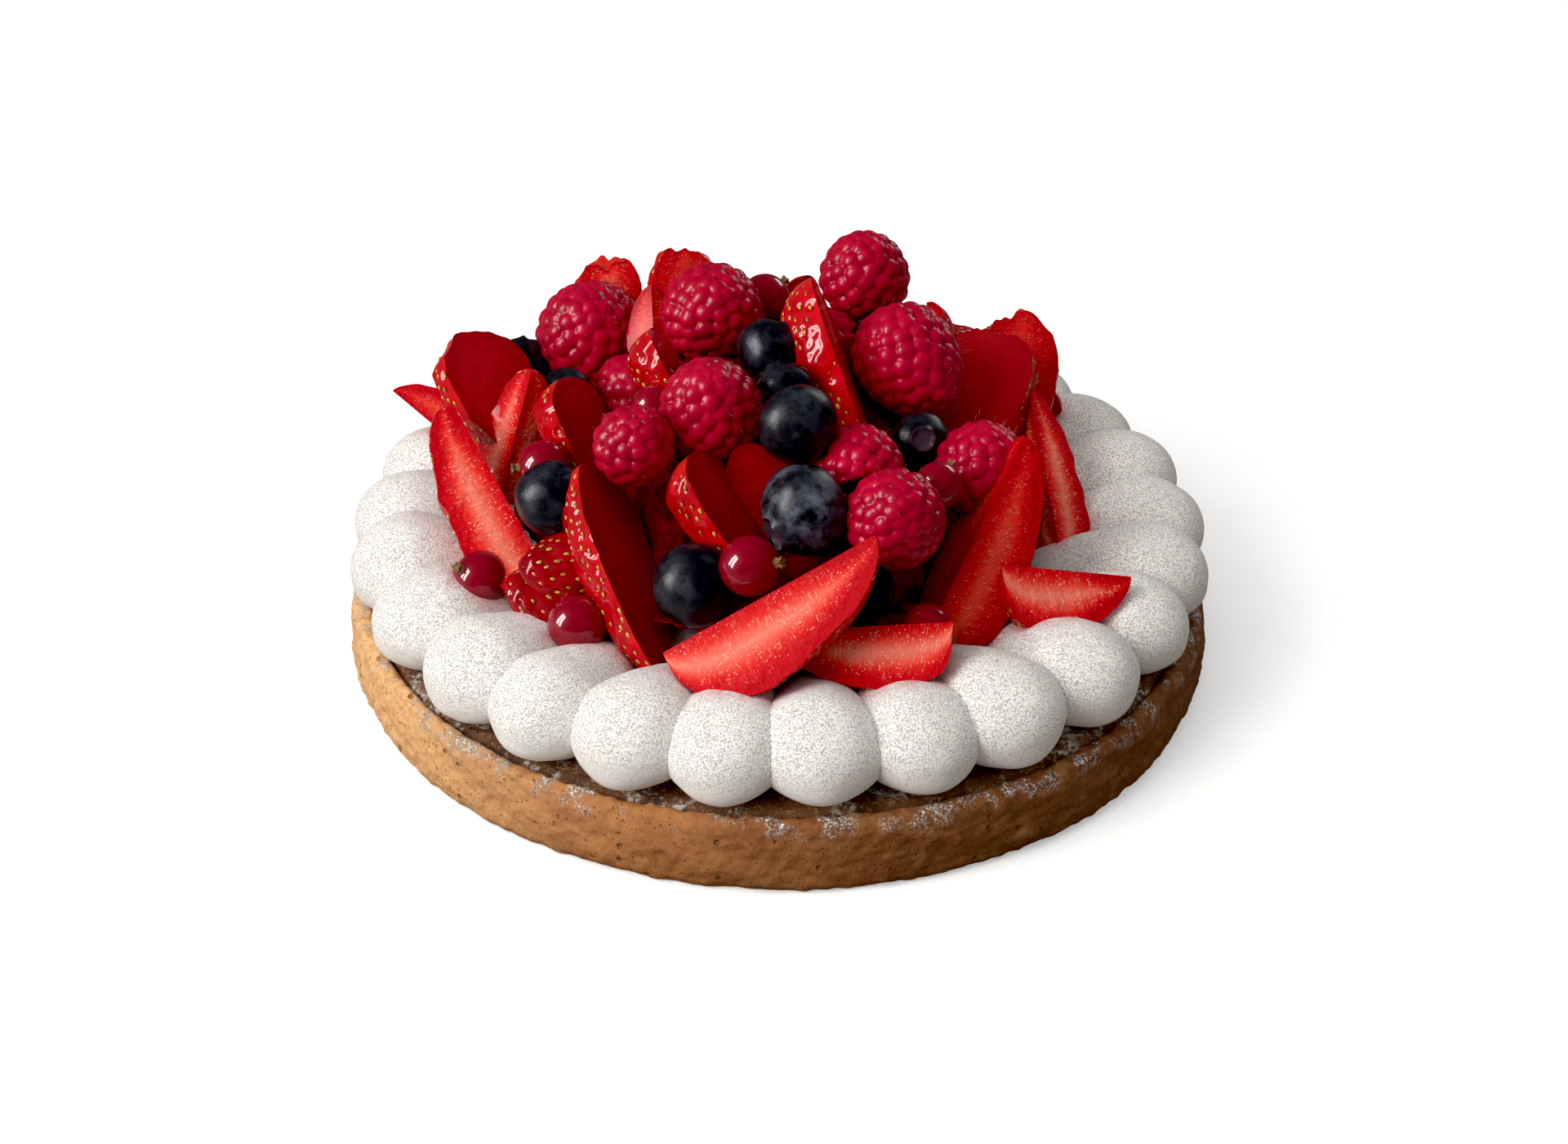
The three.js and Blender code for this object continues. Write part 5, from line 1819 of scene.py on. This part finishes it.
@dataclass
class HeapCore:
    """The fruit under the pieces that show: a lumpy mound in painted shade, with whole fruit sunk in it."""

    node: str = "heap_core"
    voxel: float = 0.8
    least_room: float = 3.2
    most_radius: float = 8.2
    sunk: float = 0.45
    lean: float = 0.35
    back_of: float = 16.0
    lowest: float = 27.0
    raspberry_from: float = 6.6
    most_currant: float = 5.0

    def mound(self, palette: Palette) -> bpy.types.Object:
        """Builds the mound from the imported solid.

        Args:
            palette: The materials.

        Returns:
            The mound, with even faces and wet lumps.
        """
        source = bpy.data.objects[self.node]
        piece = bpy.data.objects.new("fruit_mound", source.data.copy())
        bpy.context.collection.objects.link(piece)
        piece.data.transform(source.matrix_world)
        piece.data.materials.clear()
        select_only(piece)
        bpy.ops.object.mode_set(mode="EDIT")
        bpy.ops.mesh.select_all(action="SELECT")
        bpy.ops.mesh.remove_doubles(threshold=0.02 * MM)
        bpy.ops.object.mode_set(mode="OBJECT")
        cubes = piece.modifiers.new("even_faces", "REMESH")
        cubes.mode = "VOXEL"
        cubes.voxel_size = self.voxel * MM
        bpy.ops.object.modifier_apply(modifier=cubes.name)
        points = points_of(piece) / MM
        swell = 0.5 * lumps(points, 6.0, 51) + 0.2 * lumps(points, 2.4, 52) - 0.4
        points += self.normals(piece) * swell[:, None]
        set_points(piece, points)
        store(piece, "core", np.full(len(points), 0.95))
        for face in piece.data.polygons:
            face.use_smooth = True
        piece.data.materials.append(palette.mound)
        return piece

    @staticmethod
    def normals(piece: bpy.types.Object) -> np.ndarray:
        """Returns the way out of the surface at each of a piece's points."""
        flat = np.empty(len(piece.data.vertices) * 3)
        piece.data.vertices.foreach_get("normal", flat)
        return flat.reshape(-1, 3)

    def bare_places(self, piece: bpy.types.Object,
                    fruit: list[Fruit]) -> list[tuple[np.ndarray, np.ndarray, float]]:
        """Finds where the mound would lie bare.

        Args:
            piece: The mound.
            fruit: The pieces that lie on it.

        Returns:
            The middle, the way out and the radius of each fruit to sink there.
        """
        points, normals = points_of(piece) / MM, self.normals(piece)
        room = np.full(len(points), self.most_radius)
        for item in fruit:
            room = np.minimum(room, item.distance(points))
        room[(points[:, 2] < self.lowest) | (points[:, 1] < self.back_of)] = 0.0
        chosen = []
        while room.max() > self.least_room:
            best = int(room.argmax())
            radius = min(float(room[best]) * 1.05, self.most_radius)
            middle = points[best] - normals[best] * radius * self.sunk
            chosen.append((middle, normals[best], radius))
            room = np.minimum(room, np.linalg.norm(points - middle, axis=1) - radius * 0.9)
        return chosen

    def build(self, palette: Palette, fruit: list[Fruit]) -> bpy.types.Object:
        """Builds and dresses the mound and the fruit sunk in it.

        Args:
            palette: The materials.
            fruit: The pieces that lie on it.

        Returns:
            The finished heap.
        """
        piece = self.mound(palette)
        parts = [piece]
        rng = np.random.default_rng(77)
        for index, (middle, way, radius) in enumerate(self.bare_places(piece, fruit)):
            lean = tuple(way + rng.normal(scale=self.lean, size=3))
            at = tuple(middle)
            if radius > self.raspberry_from:
                filler = Raspberry(f"sunk_raspberry_{index}", at, radius, radius * 1.05, lean, divisions=5)
            elif index % 3 == 0:
                filler = Blueberry(f"sunk_blueberry_{index}", at, radius, lean)
            elif index % 3 == 1:
                filler = Redcurrant(f"sunk_redcurrant_{index}", at, min(radius, self.most_currant), lean)
            else:
                filler = Raspberry(f"sunk_raspberry_{index}", at, radius, radius * 1.1, lean, divisions=5)
            parts.append(filler.shape(palette))
        LOG.info("sunk fruit: %d", len(parts) - 1)
        whole = join(parts, "fruit_mound")
        set_in_tart(whole, "heap", self.node)
        return whole


@dataclass(frozen=True)
class Studio:
    """The camera at the photograph's angle, a pale floor and soft light from the left."""

    elevation_deg: float = 32.55
    distance: float = 540.7
    aim: Triple = (0.88, 0.0, 12.98)
    roll_deg: float = 0.83
    lens: float = 65.6

    def camera(self) -> None:
        """Sets the camera."""
        lift, roll = math.radians(self.elevation_deg), math.radians(self.roll_deg)
        back = Vector((0.0, -math.cos(lift), math.sin(lift)))
        level = Vector((1.0, 0.0, 0.0))
        upright = back.cross(level)
        right = level * math.cos(roll) + upright * math.sin(roll)
        up = upright * math.cos(roll) - level * math.sin(roll)
        data = bpy.data.cameras.new("camera")
        data.lens = self.lens
        data.sensor_width = 36.0
        camera = bpy.data.objects.new("camera", data)
        turn = Matrix((right, up, back)).transposed().to_4x4()
        place = (Vector(self.aim) + back * self.distance) * MM
        camera.matrix_world = Matrix.Translation(place) @ turn
        bpy.context.collection.objects.link(camera)
        bpy.context.scene.camera = camera

    @staticmethod
    def lamp(name: str, place: Triple, size: tuple[float, float], power: float, colour: Triple,
             glossy: bool = False) -> None:
        """Adds one rectangular light that points at the tart.

        Args:
            name: Its name.
            place: Its place in metres.
            size: Its width and height in metres.
            power: Its power in watts.
            colour: Its colour.
            glossy: Whether it shows only in reflections, or only in what it lights.
        """
        data = bpy.data.lights.new(name, "AREA")
        data.shape = "RECTANGLE"
        data.size, data.size_y = size
        data.energy = power
        data.color = colour
        light = bpy.data.objects.new(name, data)
        light.location = place
        light.rotation_euler = (Vector((0.0, 0.0, 0.03)) - Vector(place)).to_track_quat("-Z", "Y").to_euler()
        light.visible_glossy = glossy
        light.visible_diffuse = not glossy
        bpy.context.collection.objects.link(light)

    def lights(self) -> None:
        """Sets a tall window to the left, seen in reflections, and the soft light that comes with it."""
        self.lamp("left_pane", (-1.00, -0.40, 0.53), (0.20, 0.80), 8.5, (1.0, 1.0, 1.0), glossy=True)
        self.lamp("right_pane", (-1.07, -0.15, 0.53), (0.20, 0.80), 8.5, (1.0, 1.0, 1.0), glossy=True)
        self.lamp("daylight", (-0.90, -0.58, 0.70), (0.8, 0.9), 13.5, (1.0, 0.985, 0.965))
        self.lamp("back_pane", (0.55, 0.80, 0.42), (0.45, 0.25), 1.6, (1.0, 1.0, 1.0), glossy=True)
        self.lamp("ceiling", (-0.3, -0.1, 1.2), (1.2, 1.2), 4.0, (1.0, 0.985, 0.97))

    @staticmethod
    def floor() -> None:
        """Lays the pale floor, which throws only a little light back at the tart."""
        deselect_all()
        bpy.ops.mesh.primitive_plane_add(size=6.0)
        floor = bpy.context.object
        floor.name = "floor"
        material, desk, shader = start_material("pale_floor")
        seen = desk.add("ShaderNodeLightPath").outputs["Is Camera Ray"]
        grain = desk.blend(desk.noise(desk.place(), 4.0), (0.88, 0.88, 0.87), (0.9, 0.9, 0.89))
        dress(desk, shader, {
            "Base Color": desk.blend(seen, (0.2, 0.17, 0.15), grain),
            "Roughness": 0.9, "Specular IOR Level": 0.0,
            "Emission Color": (1.0, 1.0, 1.0), "Emission Strength": desk.calc("MULTIPLY", seen, 0.3),
        })
        floor.data.materials.append(material)

    @staticmethod
    def surroundings() -> None:
        """Sets pale surroundings that light the tart softly and hardly show in reflections."""
        world = bpy.data.worlds.new("studio")
        world.use_nodes = True
        desk = NodeDesk(world.node_tree)
        path = desk.add("ShaderNodeLightPath")
        shown = desk.calc("MULTIPLY", path.outputs["Is Camera Ray"], 0.7)
        dark = desk.calc("MULTIPLY", path.outputs["Is Glossy Ray"], -0.35)
        strength = desk.calc("ADD", desk.calc("ADD", shown, dark), 0.40)
        shader = world.node_tree.nodes["Background"]
        shader.inputs["Color"].default_value = (1.0, 0.99, 0.98, 1.0)
        world.node_tree.links.new(strength, shader.inputs["Strength"])
        bpy.context.scene.world = world

    def build(self) -> None:
        """Sets the studio round the tart."""
        self.camera()
        self.lights()
        self.floor()
        self.surroundings()
        view = bpy.context.scene.view_settings
        view.view_transform = "Standard"
        view.look = "None"
        view.exposure = 0.1
        view.use_curve_mapping = True
        view.curve_mapping.black_level = (0.008, 0.008, 0.008)
        view.curve_mapping.update()


def main() -> None:
    """Builds the tart piece by piece and sets it in the studio."""
    logging.basicConfig(level=logging.INFO, format="%(message)s")
    deselect_all()
    Studio().build()
    palette = Palette()
    fruit: list[Fruit] = [*RASPBERRIES, *BLUEBERRIES, *REDCURRANTS, *STRAWBERRIES]
    PastryCase().build(palette)
    AlmondFilling().build(palette)
    PipedCream().build(palette, fruit)
    for item in fruit:
        item.build(palette)
    HeapCore().build(palette, fruit)


if __name__ == "__main__":
    main()
